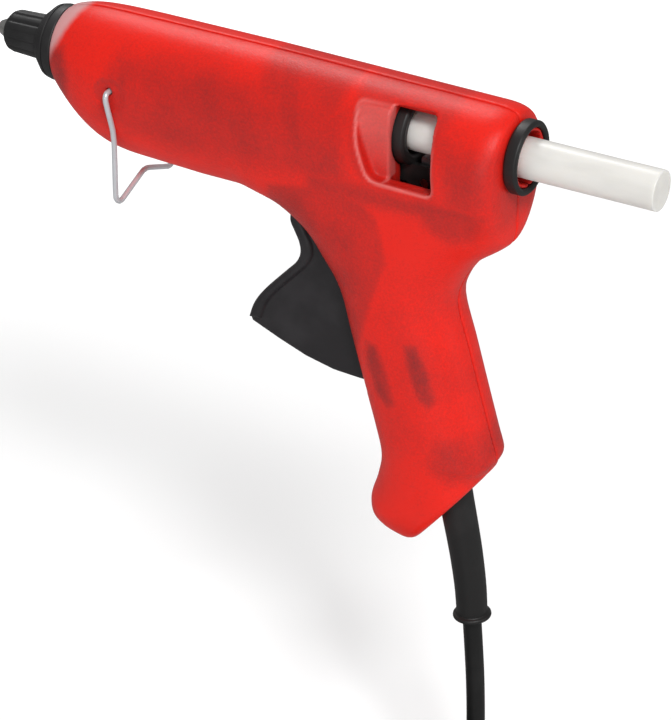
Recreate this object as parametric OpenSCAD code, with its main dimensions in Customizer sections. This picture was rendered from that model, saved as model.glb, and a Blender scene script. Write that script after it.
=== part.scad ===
// Trigger-fed hot glue gun for round glue sticks.
// Drawn upright: +X to the rear, where the stick goes in, +Z up, -Y the user's left-hand side.
// The origin is the middle of the grip. Inside gun() the barrel's axis is Z = 0 and
// X = 0 is the rear end of the entry ring.

/* [Glue stick] */
// Diameter of the glue stick
stick_d = 11.2; // [10.8:0.1:11.6]
// Length of stick that stands out behind the entry ring
stick_out = 37; // [10:1:60]
// Radial room of the stick in its plain guides
stick_room = 0.4; // [0.3:0.05:0.8]

/* [Barrel] */
// Distance from the front rim of the housing to the rear end of the entry ring
barrel_l = 145.5; // [140:0.5:155]
// Width of the barrel
barrel_w = 33; // [31:0.5:36]
// Height of the ridge above the barrel's axis
ridge_h = 14.2; // [14:0.1:16]
// Depth of the belly below the barrel's axis
belly_h = 26.6; // [25:0.1:29]
// Diameter of the housing's front rim
rim_d = 24; // [23.4:0.1:25]
// Length of the rounded nose
nose_l = 27; // [20:1:32]
// Fall of the ridge from nose to tail
ridge_fall = 1.2; // [0:0.1:2]
// Wall of the moulded housing
wall = 2.2; // [1.8:0.1:2.6]
// Length of the rounded tail edge
tail_round = 7; // [5:0.5:9]

/* [Grip] */
// Depth of the grip, front to back
grip_depth = 35; // [33:0.5:38]
// Width of the grip
grip_w = 29; // [28:0.5:32]
// Backward lean of the grip from upright, in degrees
grip_lean = 16; // [14:0.5:18]
// Depth of the grip's straight stretch below the axis, at its lower end
grip_end = 90; // [84:1:96]

/* [Nozzle] */
// Reach of the nozzle's tip beyond the housing's front rim
nozzle_reach = 23.8; // [22:0.1:28]
// Diameter of the outlet hole
outlet_d = 1.6; // [1:0.1:3]
// Diameter of the fluted sleeve
sleeve_d = 13.4; // [12.6:0.1:14.4]
// Number of flutes round the sleeve
flutes = 14; // [8:1:20]
// Diameter of the front collar
collar_d = 23.4; // [22:0.1:23.8]

/* [Feed] */
// Outer diameter of the sliding feed ring
feed_d = 19.2; // [18.4:0.1:19.6]
// Angle through which the trigger is squeezed
squeeze = 25; // [10:1:25]
// Distance from the trigger's pivot to the pin of its upper arm
arm_l = 16.5; // [15:0.5:17]
// Diameter of the trigger's pivot pin
pivot_d = 4; // [3:0.5:5]
// Diameter of the pins of the link
link_pin_d = 2.5; // [2:0.1:3]
// Width of the trigger's finger pad
pad_w = 15.4; // [14.4:0.2:16]
// Width of the trigger's web
web_w = 12.4; // [11.8:0.2:13]

/* [Stand] */
// Diameter of the stand's wire
wire_d = 2; // [1.6:0.1:2.4]
// Depth of the stand's feet below the barrel's axis
stand_h = 38.5; // [34:0.5:44]
// Distance between the stand's feet
stand_w = 28; // [27.6:0.1:30]

/* [Mains lead] */
// Diameter of the lead
lead_d = 5.5; // [5:0.1:6]
// Length of the strain relief outside the grip
relief_l = 35; // [31:1:39]

/* [Fits] */
// Gap between pieces that slide or pass each other
gap = 0.3; // [0.25:0.05:0.4]
// Radial clearance of a pin in its bore
pin_fit = 0.05; // [0.02:0.01:0.08]

/* [Hidden] */
$fn = 48;
e = 0.01;

// Place of the barrel's axis and the entry ring over the origin in the grip
axis_up = 72;
axis_back = 32;

// Main stations of the barrel, along X
ring_l = 4;
front_x = -barrel_l;
tail_x = -ring_l;
tip_x = front_x - nozzle_reach;
half_w = barrel_w / 2;
rim_r = rim_d / 2;
waist_z = -4.6;
stick_r = stick_d / 2;
entry_r = stick_r + stick_room + 2;

// Trigger pivot and link, in the plane of the barrel
pivot = [-58, -31];
arm_pin = pivot + [0, arm_l];
jaw_pivot = [-30, -13];
jaw_drop = 6;
jaw_hook = jaw_pivot - [0, jaw_drop];
slot_w = pad_w + 2 * gap + 0.4;
spring_x = -31;
spring_r = 2.2;
spring_wire = 0.35;
spring_y = -(web_w / 2 + spring_r + spring_wire + gap);
spring_top = -42;
spring_foot = -84;

// Lines of the grip: front and back at a depth z below the axis
grip_mid_x = -38.4;
grip_top = 49;
function lean_x(z) = grip_mid_x + (-z - grip_top) * tan(grip_lean);
function grip_front(z) = [lean_x(z) - grip_depth / 2, z];
function grip_back(z) = [lean_x(z) + grip_depth / 2, z];

// ---------- helpers ----------

module gun() { translate([axis_back, 0, axis_up]) children(); }
module along_x(x = 0, z = 0, y = 0) { translate([x, y, z]) rotate([0, 90, 0]) children(); }
// A round bar along Y, centred on y
module bar_y(p, r, from, to) {
    translate([p[0], from, p[1]]) rotate([-90, 0, 0]) cylinder(r = r, h = to - from);
}
// A plate drawn in the XZ plane, from y = from to y = to
module plate_y(from, to) {
    translate([0, to, 0]) rotate([90, 0, 0]) linear_extrude(to - from) children();
}
module slab(p, q) { translate(p) cube(q - p); }

// Curve through the points k, with n steps in each span
function knee(a, b, c, d, t) = 0.5 * (2 * b + (c - a) * t + (2 * a - 5 * b + 4 * c - d) * t * t
    + (3 * b - a - 3 * c + d) * t * t * t);
function curve(k, n) = [for (i = [0:len(k) - 2], s = [0:n - 1])
    knee(k[max(i - 1, 0)], k[i], k[i + 1], k[min(i + 2, len(k) - 1)], s / n), k[len(k) - 1]];

// Closed skin over a list of rings with equal numbers of points
module loft(rings) {
    n = len(rings[0]);
    m = len(rings);
    polyhedron(points = [for (r = rings) each r],
        faces = concat([[for (j = [0:n - 1]) j]], [[for (j = [n - 1:-1:0]) (m - 1) * n + j]],
            [for (i = [0:m - 2], j = [0:n - 1]) each [
                [i * n + j, (i + 1) * n + j, (i + 1) * n + (j + 1) % n],
                [i * n + j, (i + 1) * n + (j + 1) % n, i * n + (j + 1) % n]]]));
}

// Round tube swept along the points p, with a steady frame
function unit(v) = v / norm(v);
function way(p, i) = unit(p[min(i + 1, len(p) - 1)] - p[max(i - 1, 0)]);
function carry(p, u, i = 0) = i == len(p) ? [] :
    let (v = unit(u - way(p, i) * (u * way(p, i)))) concat([v], carry(p, v, i + 1));
module tube(p, r, n = 8, side = [0, 1, 0]) {
    u = carry(p, side);
    loft([for (i = [0:len(p) - 1]) let (w = cross(way(p, i), u[i]), r_i = is_list(r) ? r[i] : r)
        [for (j = [0:n - 1]) p[i] + r_i * (cos(360 * j / n) * u[i] + sin(360 * j / n) * w)]]);
}

// ---------- shape of the housing ----------

function ease(u, n) = 1 - pow(1 - u, n);
function clamp01(u) = min(max(u, 0), 1);
function nose_u(x) = clamp01((x - front_x) / nose_l);
function tail_v(x) = clamp01((x - tail_x + tail_round) / tail_round);
function tail_in(x) = 1 - sqrt(1 - pow(tail_v(x), 2));
function side_at(x) = rim_r + (half_w - rim_r) * ease(nose_u(x), 2.4) - 4.1 * tail_in(x);
function top_at(x) = rim_r + (ridge_h - rim_r) * ease(nose_u(x), 5)
    - ridge_fall * clamp01((x + 80) / 76) - 2 * tail_in(x);
function belly_at(x) = rim_r + (belly_h - rim_r) * ease(nose_u(x), 2.8) - 4.5 * tail_in(x);
function waist_at(x) = waist_z * ease(nose_u(x), 2);
function full_at(x) = 2 + 0.12 * nose_u(x);

// Half of the barrel's section at x, from ridge to belly on the left-hand side;
// t is taken off all round, and lip carries the flat past the seam
section_n = 18;
function lobe(a, n) = pow(abs(a), 2 / n);
function barrel_ring(x, t, lip) = let (w = side_at(x) - t, up = top_at(x) - t - waist_at(x),
        down = belly_at(x) - t + waist_at(x), n = full_at(x))
    concat(lip > 0 ? [[x, lip, waist_at(x) + up]] : [],
        [for (i = [0:section_n]) let (a = 180 * i / section_n)
            [x, -w * lobe(sin(a), n), waist_at(x) + (a < 90 ? up : -down) * lobe(cos(a), n)]],
        lip > 0 ? [[x, lip, waist_at(x) - down]] : []);
nose_steps = [0, 0.06, 0.13, 0.22, 0.33, 0.46, 0.62, 0.8, 1];
tail_steps = [0, 0.4, 0.7, 0.87, 0.96, 1];
function barrel_xs() = concat([for (u = nose_steps) front_x + nose_l * u], [-92, -60, -30],
    [for (v = tail_steps) tail_x - tail_round * (1 - v)]);
module barrel_skin() { loft([for (x = barrel_xs()) barrel_ring(x, 0, 0)]); }
module barrel_hollow() {
    front = front_x + 2.5;
    xs = concat([front], [for (x = barrel_xs()) if (x > front + 0.5 && x < tail_x - 3.5) x], [tail_x - 3]);
    loft([for (x = xs) barrel_ring(x, wall, 1)]);
}

// The grip is swept between a front and a back rail; each station is
// [front x, front z, back x, back z, half width]
function station(f, b, w) = [f[0], f[1], b[0], b[1], w];
grip_keys = [
    station([-92, -19], [-6.5, -12], 15.2),
    station([-83, -26.5], [-5.2, -21], 15.2),
    station([-73, -30.5], [-8, -28], 15.1),
    station([-65.5, -35.5], [-14.4, -33.6], 15),
    station([-60.6, -42], [-19.2, -41], 14.7),
    station(grip_front(-grip_top - 1), grip_back(-grip_top), grip_w / 2),
    station(grip_front(-62), grip_back(-62), grip_w / 2),
    station(grip_front(-76), grip_back(-76), grip_w / 2),
    station(grip_front(-grip_end), grip_back(-grip_end + 2), grip_w / 2),
    station(grip_front(-grip_end) + [2, -9], grip_back(-grip_end) + [0.9, -2.2], grip_w / 2),
    station(grip_front(-grip_end) + [0.8, -17], grip_back(-grip_end) + [1.6, -3.6], grip_w / 2),
    station(grip_front(-grip_end) + [-1.2, -24], grip_back(-grip_end) + [1.6, -5], grip_w / 2 - 0.3),
    station(grip_front(-grip_end) + [0, -30], grip_back(-grip_end) + [1.3, -6.2], grip_w / 2 - 0.8),
    station(grip_front(-grip_end) + [5.4, -34], grip_back(-grip_end) + [0.7, -7.2], grip_w / 2 - 1.8),
    station(grip_front(-grip_end) + [13.4, -35.2], grip_back(-grip_end) + [-0.1, -8.6], grip_w / 2 - 3.4)];
function grip_ring(s, t, lip) = let (f = [s[0], 0, s[1]], b = [s[2], 0, s[3]], d = unit(b - f),
        m = (f + b) / 2, a = norm(b - f) / 2 - t, w = s[4] - t)
    concat(lip > 0 ? [m + a * d + [0, lip, 0]] : [],
        [for (i = [0:section_n]) let (q = 180 * i / section_n)
            m + a * d * sign(cos(q)) * lobe(cos(q), 2.3) - [0, w * lobe(sin(q), 2.3), 0]],
        lip > 0 ? [m - a * d + [0, lip, 0]] : []);
module grip_skin() { loft([for (s = curve(grip_keys, 2)) grip_ring(s, 0, 0)]); }
butt_end = grip_keys[len(grip_keys) - 1];
butt_a = [butt_end[0], butt_end[1]];
butt_b = [butt_end[2], butt_end[3]];
butt_way = (butt_b - butt_a) / norm(butt_b - butt_a);
relief_at = butt_a + 16.8 * butt_way;
// The hollow follows the same rails and stops short of the butt's slanted face
module grip_hollow() difference() {
    loft([for (s = curve(grip_keys, 2)) grip_ring(s, wall, 1)]);
    translate([butt_a[0], 0, butt_a[1]]) rotate([0, -atan2(butt_way[1], butt_way[0]), 0])
        translate([-20, -30, -40]) cube([80, 60, 40 + wall + 0.4]);
}

// ---------- window, ribs and bosses of the housing ----------

window_l = -36.5;
bulk_x = -47;
window_recess = [[-46.3, 10.3], [-45.4, 6], [-44, 0], [-41.4, -7.4], [-40, -9.2], [-38, -9.7],
    [-22.6, -9.9], [-21.6, -8.8], [-22.3, 2], [-23.4, 9.8], [-24.6, 10.7]];
// Screws as [x, z, depth of the boss from the seam]
screw_at = [[-98, -19, 9.6], [-79, -20.5, 8.5], [-13.5, -22, 8], [-17.5, -84, 9], [-35.5, -112, 11]];
screw_seat = 3;
screw_r = 1.5;
pivot_y = 10.2;
block_x = -25.5;
block_z = -79.5;
boss_r = 3.4;
stand_at = [-122.6, -3.2];
disc_z = -1.6;
disc_r = half_w - 1.8;

module disc(x, l, r) { along_x(x, disc_z) cylinder(r = r, h = l, $fn = 72); }
module half_bar(x, l, r) { along_x(x) cylinder(r = r, h = l, $fn = 72); }

// Bulkhead that guides the feed ring, ribs that carry the chamber, the entry tube
module housing_inside() {
    disc(bulk_x, window_l - bulk_x, disc_r);
    disc(front_x + 38.5, 2, disc_r);
    disc(front_x + 44.8, 2, disc_r);
    half_bar(tail_x - 9, 9, entry_r + 2.4);
    bar_y(pivot, 4.4, -pivot_y - 0.6, -web_w / 2 - gap);
    bar_y(stand_at, 3.2, -half_w + 1, -half_w + 6);
    for (s = screw_at) bar_y(s, boss_r, -s[2], 0);
    bar_y([spring_x, spring_foot], 1.6, -grip_w / 2 + 1, spring_y + 1.6);
    // ledge under the window
    slab([window_l - e, -half_w + 1, -11.4], [-21.5, -half_w + 5.5, -9.9]);
    // shelves under the terminal block
    slab([block_x - 1.5, -10.6, block_z - 1.5], [-18, -3.4, block_z]);
}

module window_cut() {
    // straight-through part
    intersection() {
        plate_y(-half_w - 2, -half_w + 9) polygon(window_recess);
        slab([window_l, -half_w - 3, -12], [-15, -4, 12]);
    }
    // hollowed thumb recess in front of it
    intersection() {
        plate_y(-half_w - 2, -half_w + 9) polygon(window_recess);
        translate([window_l + 3, -half_w - 6.5, 0]) cylinder(r = 12.6, h = 40, center = true, $fn = 96);
    }
}

module trigger_slot() {
    plate_y(-slot_w / 2, 1) intersection() {
        translate(pivot) circle(r = 49.4, $fn = 120);
        polygon([[-73.5, -33], [-72, -24], [-60, -24], [-52, -38], [-42, -60], [-38, -80],
            [-44, -88], [-110, -88], [-110, -33]]);
    }
}

module housing_half() {
    difference() {
        union() {
            difference() {
                union() {
                    barrel_skin();
                    grip_skin();
                }
                barrel_hollow();
                grip_hollow();
            }
            intersection() {
                housing_inside();
                slab([front_x, -half_w - 1, -140], [0, 0, 20]);
            }
            // front and rear spigots that the collar and the ring go over
            difference() {
                half_bar(tail_x - e, ring_l - 0.5 + e, entry_r + 0.9);
                slab([-20, 0, -20], [20, 30, 20]);
            }
            difference() {
                half_bar(front_x - 2.6, 2.6 + e, 9);
                slab([front_x - 20, 0, -20], [0, 30, 20]);
            }
        }
        // stick, chamber and feed ring bores
        half_bar(tail_x - 12, 30, entry_r);
        half_bar(bulk_x - 1, window_l - bulk_x + 2, feed_d / 2 + gap);
        half_bar(front_x - 5, 9, 7.6);
        half_bar(front_x + 38, 9, 10.6);
        slab([front_x + 36, -8, -22], [front_x + 48, 1, -8]);
        slab([bulk_x - 1, -5, -22], [window_l + 1, 1, -8]);
        window_cut();
        trigger_slot();
        bar_y(pivot, pivot_d / 2 + pin_fit, -pivot_y - 0.1, 1);
        bar_y(stand_at, wire_d / 2 + 2 * pin_fit, -half_w - 2, -half_w + 7);
        // seat of the strain relief
        relief_cut();
    }
}

// Direction and radius of the relief where it leaves the grip
relief_dir = [0.2, -0.98];
relief_r = 5.1;
module relief_cut() {
    translate([relief_at[0], 0, relief_at[1]]) rotate([0, 180 - atan2(relief_dir[0], -relief_dir[1]), 0])
        cylinder(r = relief_r + 0.1, h = 60, center = true);
}

module left_housing() color("red") gun() difference() {
    housing_half();
    for (s = screw_at) bar_y(s, screw_r - 0.2, -s[2] + 1.4, 1);
}
module right_housing() color("red") gun() difference() {
    union() {
        mirror([0, 1, 0]) housing_half();
        for (s = clamp_at) bar_y(s, 2.3, -lead_d / 2, grip_w / 2 - wall + 0.7);
    }
    for (s = screw_at) {
        bar_y(s, screw_r, -1, 20);
        bar_y(s, 2.9, s[2] - screw_seat, 20);
    }
    for (s = clamp_at) bar_y(s, clamp_screw_r, -lead_d, 6);
}
module housing_screws() color("silver") gun() for (s = screw_at) {
    bar_y(s, screw_r - 0.2, -s[2] + 2.2, 0.5);
    bar_y(s, screw_r, 0.5, s[2] - screw_seat);
    difference() {
        bar_y(s, 2.6, s[2] - screw_seat, s[2] - screw_seat + 1.8);
        // cross recess
        for (a = [0, 90]) translate([s[0], s[2] - screw_seat + 1.4, s[1]]) rotate([0, a, 0])
            cube([3.2, 1.4, 0.7], center = true);
    }
}

// ---------- entry and nozzle ----------

module ring_of(x, l, r_in, r_out, c = 0.5) {
    along_x(x) rotate_extrude($fn = 96) polygon([[r_in, c], [r_in + c, 0], [r_out - c, 0], [r_out, c],
        [r_out, l - c], [r_out - c, l], [r_in + c, l], [r_in, l - c]]);
}
module rear_ring() color("dimgray") gun() ring_of(tail_x, ring_l, entry_r + 0.9, entry_r + 2.2, 0.4);

module front_collar() color("dimgray") gun() along_x(front_x) rotate_extrude($fn = 96)
    polygon([[9, 0], [collar_d / 2, 0], [collar_d / 2, -2.5], [collar_d / 2 - 0.5, -3],
        [collar_d / 2 - 0.9, -3.1], [collar_d / 2 - 1.2, -4.6], [collar_d / 2 - 1.9, -6.3],
        [collar_d / 2 - 2.7, -7], [sleeve_d / 2 + gap, -7], [sleeve_d / 2 + gap, -2.6], [9, -2.6]]);

// Reach of the rubber sleeve, which leaves the end of the tip bare
sleeve_l = nozzle_reach - 4.4;
module nozzle_sleeve() color("dimgray") gun() difference() {
    along_x(front_x) rotate_extrude($fn = 96) polygon(concat(
        [[4.5, -1], [sleeve_d / 2, -1], [sleeve_d / 2, -9]],
        [for (a = [0:15:75])
            [sleeve_d / 2 - 2.6 + 2.4 * cos(a) - 0.1 * a / 75, -sleeve_l + 3.4 - 3.4 * sin(a)]],
        [[4.5, -sleeve_l]]));
    for (i = [0:flutes - 1]) rotate([360 * i / flutes, 0, 0])
        translate([front_x - sleeve_l + 2.6, 0, sleeve_d / 2 + 0.55]) rotate([0, 90, 0])
            cylinder(r = 1, h = sleeve_l - 11, $fn = 20);
}

module nozzle_tip() color("silver") gun() along_x(front_x) rotate_extrude($fn = 64)
    polygon([[3.2, 6], [3.2, 0], [4.5, 0], [4.5, -sleeve_l + 0.4], [3.4, -sleeve_l - 0.6],
        [1.9, -nozzle_reach + 0.3], [1.6, -nozzle_reach], [outlet_d / 2, -nozzle_reach],
        [outlet_d / 2, -14], [2, -12.6], [2, 6]]);
module valve_ball() color("silver") gun() translate([front_x - 11.2, 0, 0]) sphere(r = 1.6);
function coil_of(x, l, r, turns, n) = [for (i = [0:turns * n]) let (a = 360 * i / n)
    [x + l * i / (turns * n), r * cos(a), r * sin(a)]];
module valve_spring() color("silver") gun()
    tube(coil_of(front_x - 9.3, 14, 1.5, 7, 9), 0.25, 5, [1, 0, 0]);

chamber_rear = front_x + 41.5;
module melt_chamber() color("lightgray") gun() difference() {
    union() {
        along_x(front_x) rotate_extrude($fn = 72) polygon([[0, 0], [5.8, 0], [5.8, 4], [7.4, 5],
            [8.4, 8], [8.4, 41.5], [0, 41.5]]);
        ring_of(front_x + 36.5, 2, 4, 11.6);
        slab([front_x + 9, -6.5, -15.8], [front_x + 35, 6.5, 0]);
        for (i = [0:4]) ring_of(front_x + 12 + 5 * i, 1.6, 4, 9.8, 0.3);
    }
    along_x(front_x) rotate_extrude($fn = 72) polygon([[0, -1], [3.2 + pin_fit, -1], [3.2 + pin_fit, 6],
        [2, 6.1], [2, 9], [stick_r + gap, 18], [stick_r + gap, 50], [0, 50]]);
    slab([front_x + 8, -5 - pin_fit, -14], [front_x + 36, 5 + pin_fit, -9.4]);
}
module heater() color("white") gun() {
    slab([front_x + 10, -5, -14 + pin_fit], [front_x + 34, 5, -9.4 - pin_fit]);
    for (s = [-1, 1]) slab([front_x + 34, s * 3 - 1, -12.2], [front_x + 38.4, s * 3 + 1, -11.2]);
}
module heater_clamp() color("silver") gun() difference() {
    slab([front_x + 14, -7.5, -16.6], [front_x + 30, 7.5, -7.7]);
    slab([front_x + 13, -6.5, -15.8], [front_x + 31, 6.5, 0]);
}
module front_insulator() color("beige") gun() ring_of(front_x + 0.2, 3, 5.8, 7.6, 0.2);
module rear_insulator() color("beige") gun() difference() {
    ring_of(front_x + 40.5, 4.3, 8.4, ridge_h - wall - gap, 0.4);
    slab([front_x + 40, -9, -16], [front_x + 46, 9, -8.6]);
}
module inlet_seal() color("ivory") gun() along_x(chamber_rear) rotate_extrude($fn = 72)
    polygon([[stick_r + 0.15, 0], [8.4, 0], [8.4, 3], [7.6, 3.6], [7.6, 12], [8.2, 12.6],
        [8.2, 20], [7, 22], [stick_r + 0.15, 22]]);
clip_x = chamber_rear + 7.6;
module seal_clip() color("silver") gun() difference() {
    union() {
        ring_of(clip_x, 4, 7.6, 8.3, 0.2);
        slab([clip_x, -2, 7.9], [clip_x + 4, 2, 11.2]);
    }
    slab([clip_x - 1, -1, 7.5], [clip_x + 5, 1, 12]);
}

// ---------- feed ----------

// Bore of the carriage and the feed ring
feed_in = stick_r + 1;
// Half widths of the carriage's keel and of the jaw in it
keel_w = 4;
jaw_t = 2;
// Top of the keel
keel_z = -7.2;
module feed_carriage() color("firebrick") gun() difference() {
    union() {
        ring_of(-54, 16.2, feed_in, feed_d / 2 - 0.6, 0.4);
        plate_y(-keel_w, keel_w) polygon([[-45, -8], [-46, -13.6], [-35.4, -13.6],
            [-34.4, -15.2], [-27, -15.2], [-27, -8.2],
            [-33.8, -8.2], [-33.8, keel_z], [-45, keel_z]]);
    }
    half_bar(-60, 40, feed_in);
    // room for the jaw between the cheeks
    slab([-34.4, -jaw_t - gap, -20], [-25, jaw_t + gap, 0]);
    bar_y(jaw_pivot, link_pin_d / 2 + pin_fit, -10, 10);
}
module feed_ring() color("dimgray") gun() difference() {
    ring_of(-37.8, 4.2, feed_in, feed_d / 2, 0.5);
    // slot that sits on the carriage's keel
    slab([-40, -keel_w - pin_fit, -12], [-30, keel_w + pin_fit, keel_z]);
}
module clamp_jaw() color("silver") gun() difference() {
    union() {
        plate_y(-jaw_t, jaw_t) polygon([[-32, -6.9], [-31.6, -6.25], [-31.1, -6.8], [-30.5, -6.3],
            [-30, -6.9], [-28.4, -7.4], [-28, -13], [-28.4, -19], [-31.6, -19], [-32, -13]]);
        bar_y(jaw_pivot, 2.6, -jaw_t, jaw_t);
        bar_y(jaw_hook, 2.4, -jaw_t, jaw_t);
    }
    for (p = [jaw_pivot, jaw_hook]) bar_y(p, link_pin_d / 2 + pin_fit, -jaw_t - 1, jaw_t + 1);
}
module jaw_pin() color("silver") gun() {
    bar_y(jaw_pivot, link_pin_d / 2, -keel_w, keel_w);
    bar_y(jaw_pivot, link_pin_d / 2 + 0.6, keel_w, keel_w + 0.8);
}
link_t = 1.2;
link_y = jaw_t + gap;
// two side straps, joined by a rung, from the trigger's arm to the jaw's foot
module pull_link() color("silver") gun() {
    d = jaw_hook - arm_pin;
    for (s = [-1, 1]) difference() {
        plate_y(min(s * link_y, s * (link_y + link_t)), max(s * link_y, s * (link_y + link_t)))
            union() {
                translate(arm_pin) circle(r = 2.3);
                translate(jaw_hook) circle(r = 2.3);
                translate(arm_pin) rotate(atan2(d[1], d[0])) translate([0, -1.7]) square([norm(d), 3.4]);
            }
        bar_y(arm_pin, link_pin_d / 2 + pin_fit, -10, 10);
        bar_y(jaw_hook, link_pin_d / 2 + 0.55, -10, 10);
    }
    m = (arm_pin + jaw_hook) / 2;
    slab([m[0] - 2, -link_y - e, m[1] - 1.4], [m[0] + 2, link_y + e, m[1] - 0.2]);
}
module link_pin_front() color("silver") gun() bar_y(arm_pin, link_pin_d / 2, -web_w / 2, web_w / 2);
module link_pin_rear() color("silver") gun()
    bar_y(jaw_hook, link_pin_d / 2, -link_y - link_t, link_y + link_t);

// Finger side of the trigger, from its top down to the tip
finger = [[-69.8, -29.6], [-70.3, -33], [-69, -36], [-67.4, -39.5], [-67.2, -43], [-69, -46.6],
    [-73, -51], [-79, -57.6], [-82.3, -62.4], [-84, -67.4]];
module trigger_side() {
    polygon(concat(curve(finger, 3), [[-83.6, -69], [-74.7, -72.6], [-66, -75.7], [-57, -77.6],
        [-47.5, -78], [-43.8, -77], [-43.4, -66], [-45, -56], [-48, -46], [-52.4, -33],
        [-55, -24], [-63, -24.4]]));
}
module trigger_arm() {
    translate(pivot) circle(r = 5.4);
    translate(arm_pin) circle(r = 3.1);
    translate(pivot - [3.1, 0]) square([6.2, arm_l]);
}
module trigger() color("dimgray") gun() difference() {
    union() {
        plate_y(-web_w / 2, web_w / 2) { trigger_side(); trigger_arm(); }
        // finger pad, wider than the web
        plate_y(-pad_w / 2, pad_w / 2) polygon(concat(curve(finger, 3),
            [for (i = [len(finger) - 1:-1:1]) finger[i] + [2.6, 0.2]]));
        // lug of the return spring
        plate_y(-web_w / 2, -web_w / 2 + 2) polygon([[-57, -33], [-30, -39.6], [-28.8, -42],
            [-30, -44.2], [-54, -48]]);
        bar_y([spring_x, spring_top], 1.2, spring_y - 1.2, -web_w / 2 + 1);
    }
    // hollow back
    plate_y(-web_w / 2 + 2, web_w / 2 - 2) polygon([[-64.5, -40], [-62, -47], [-72, -58], [-78.5, -67],
        [-66, -72.6], [-52, -75.6], [-30, -76], [-30, -30], [-51.5, -30], [-55, -37]]);
    // fork round the link
    plate_y(-link_y - link_t - gap, link_y + link_t + gap) translate(arm_pin - [8, 8.6]) square([16, 20]);
    bar_y(pivot, pivot_d / 2 + pin_fit, -10, 10);
    bar_y(arm_pin, link_pin_d / 2 + pin_fit, -10, 10);
}
module trigger_pin() color("silver") gun() bar_y(pivot, pivot_d / 2, -pivot_y, pivot_y);

// tension spring from the trigger's lug down to a post of the grip
spring_coil_top = -62;
spring_coil_foot = -80;
module return_spring() color("silver") gun() translate([spring_x, spring_y, 0]) {
    n = 10;
    turns = 9;
    tube(concat([[0, 0, spring_top - 1.5], [0, 0, spring_coil_top + 2]],
        [for (i = [0:turns * n]) let (a = 360 * i / n)
            [spring_r * cos(a), spring_r * sin(a),
                spring_coil_top + (spring_coil_foot - spring_coil_top) * i / (turns * n)]],
        [[0, 0, spring_coil_foot - 1], [0, 0, spring_foot + 1.9]]), spring_wire, 5, [0, 1, 0]);
}

// ---------- stand and stick ----------

// Distance of each leg from the middle, clear of the housing
leg_y = half_w + wire_d / 2 + 0.4;
module wire_stand() color("silver") gun() {
    x = stand_at[0];
    z = stand_at[1];
    foot = stand_w / 2;
    low = -stand_h + wire_d / 2;
    for (s = [-1, 1])
        bar_y(stand_at, wire_d / 2, min(s * (half_w - 4.5), s * leg_y), max(s * (half_w - 4.5), s * leg_y));
    // from one eye down the leg, under the foot, over the gable and back up, mirrored
    half = [[x, leg_y - 0.9, z + 0.2], [x, leg_y - 0.3, z - 0.6], [x, leg_y, z - 2], [x, leg_y - 0.7, z - 7],
        [x, foot + 1.5, z - 14.4], [x, foot + 1.3, z - 16], [x, foot + 0.8, low + 5], [x, foot + 0.7, low + 2],
        [x, foot + 0.1, low + 0.6], [x, foot - 1.2, low], [x, foot - 2.4, low + 0.4], [x, 1.6, low + 4.7]];
    n = len(half);
    tube(concat([for (i = [0:n - 1]) [x, -half[i][1], half[i][2]]], [[x, 0, low + 5]],
        [for (i = [n - 1:-1:0]) half[i]]), wire_d / 2, 10, [1, 0, 0]);
}

// Length of the stick, from the melt chamber to its end
stick_l = stick_out - front_x - 37.5;
module glue_stick() color("ivory") gun() along_x(stick_out - stick_l)
    cylinder(r = stick_r, h = stick_l, $fn = 72);

// ---------- mains lead ----------

// Centreline of the relief, from its head inside the grip to its lower end
relief_top = relief_at - 9 * relief_dir;
relief_mid = relief_at + 18 * relief_dir;
relief_low = relief_at + [5.7, -relief_l];
// Height of the flanges at both ends of the relief
relief_lip = 2.4;
function xz(p) = [p[0], 0, p[1]];
module strain_relief() color("dimgray") gun() {
    path = curve([xz(relief_top), xz(relief_at), xz(relief_mid), xz(relief_low)], 5);
    m = len(path) - 1;
    tube(path, [for (i = [0:m]) relief_r - 0.65 * i / m], 24);
    translate(xz(relief_top)) rotate([0, 180 - atan2(relief_dir[0], -relief_dir[1]), 0])
        translate([0, 0, -1]) cylinder(r = relief_r + 1.5, h = relief_lip);
    translate(xz(relief_low)) rotate([0, -4, 0]) translate([0, 0, -relief_lip])
        cylinder(r = relief_r + 0.6, h = relief_lip + 0.2);
}

// Sheathed end of the lead, held by the clamp and run up into the terminal block
clamp_z = -93;
clamp_x = relief_top[0] + (clamp_z - relief_top[1]) * relief_dir[0] / relief_dir[1];
clamp_at = [[clamp_x - 5.9, clamp_z], [clamp_x + 5.9, clamp_z]];
clamp_screw_r = 1.1;
module lead_sheath() color("dimgray") gun() tube(curve([xz(relief_top - relief_dir), [clamp_x, 0, clamp_z],
    [block_x + 2.2, 0, block_z - 4.4], [block_x + 2.5, 0, block_z - 0.6]], 4), lead_d / 2, 12);
module cable_clamp() color("dimgray") gun() difference() {
    plate_y(-lead_d / 2 - 2.2, -lead_d / 2) {
        for (s = clamp_at) translate(s) circle(r = 3);
        translate(clamp_at[0] - [0, 3]) square([clamp_at[1][0] - clamp_at[0][0], 6]);
    }
    for (s = clamp_at) bar_y(s, clamp_screw_r, -10, 0);
}
module clamp_screws() color("silver") gun() for (s = clamp_at) {
    bar_y(s, clamp_screw_r, -lead_d / 2 - 2.2, 4.6);
    bar_y(s, 2.1, -lead_d / 2 - 3.8, -lead_d / 2 - 2.2);
}
module terminal_block() color("gray") gun() difference() {
    slab([block_x, -5.6, block_z], [block_x + 6.4, 5.6, block_z + 10]);
    for (s = [-1, 1]) translate([block_x - 1, s * 3, block_z + 6.4]) rotate([0, 90, 0])
        cylinder(r = 1.6, h = 4);
    slab([block_x - 1, -0.5, block_z + 3], [block_x + 10, 0.5, block_z + 11]);
}

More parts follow.
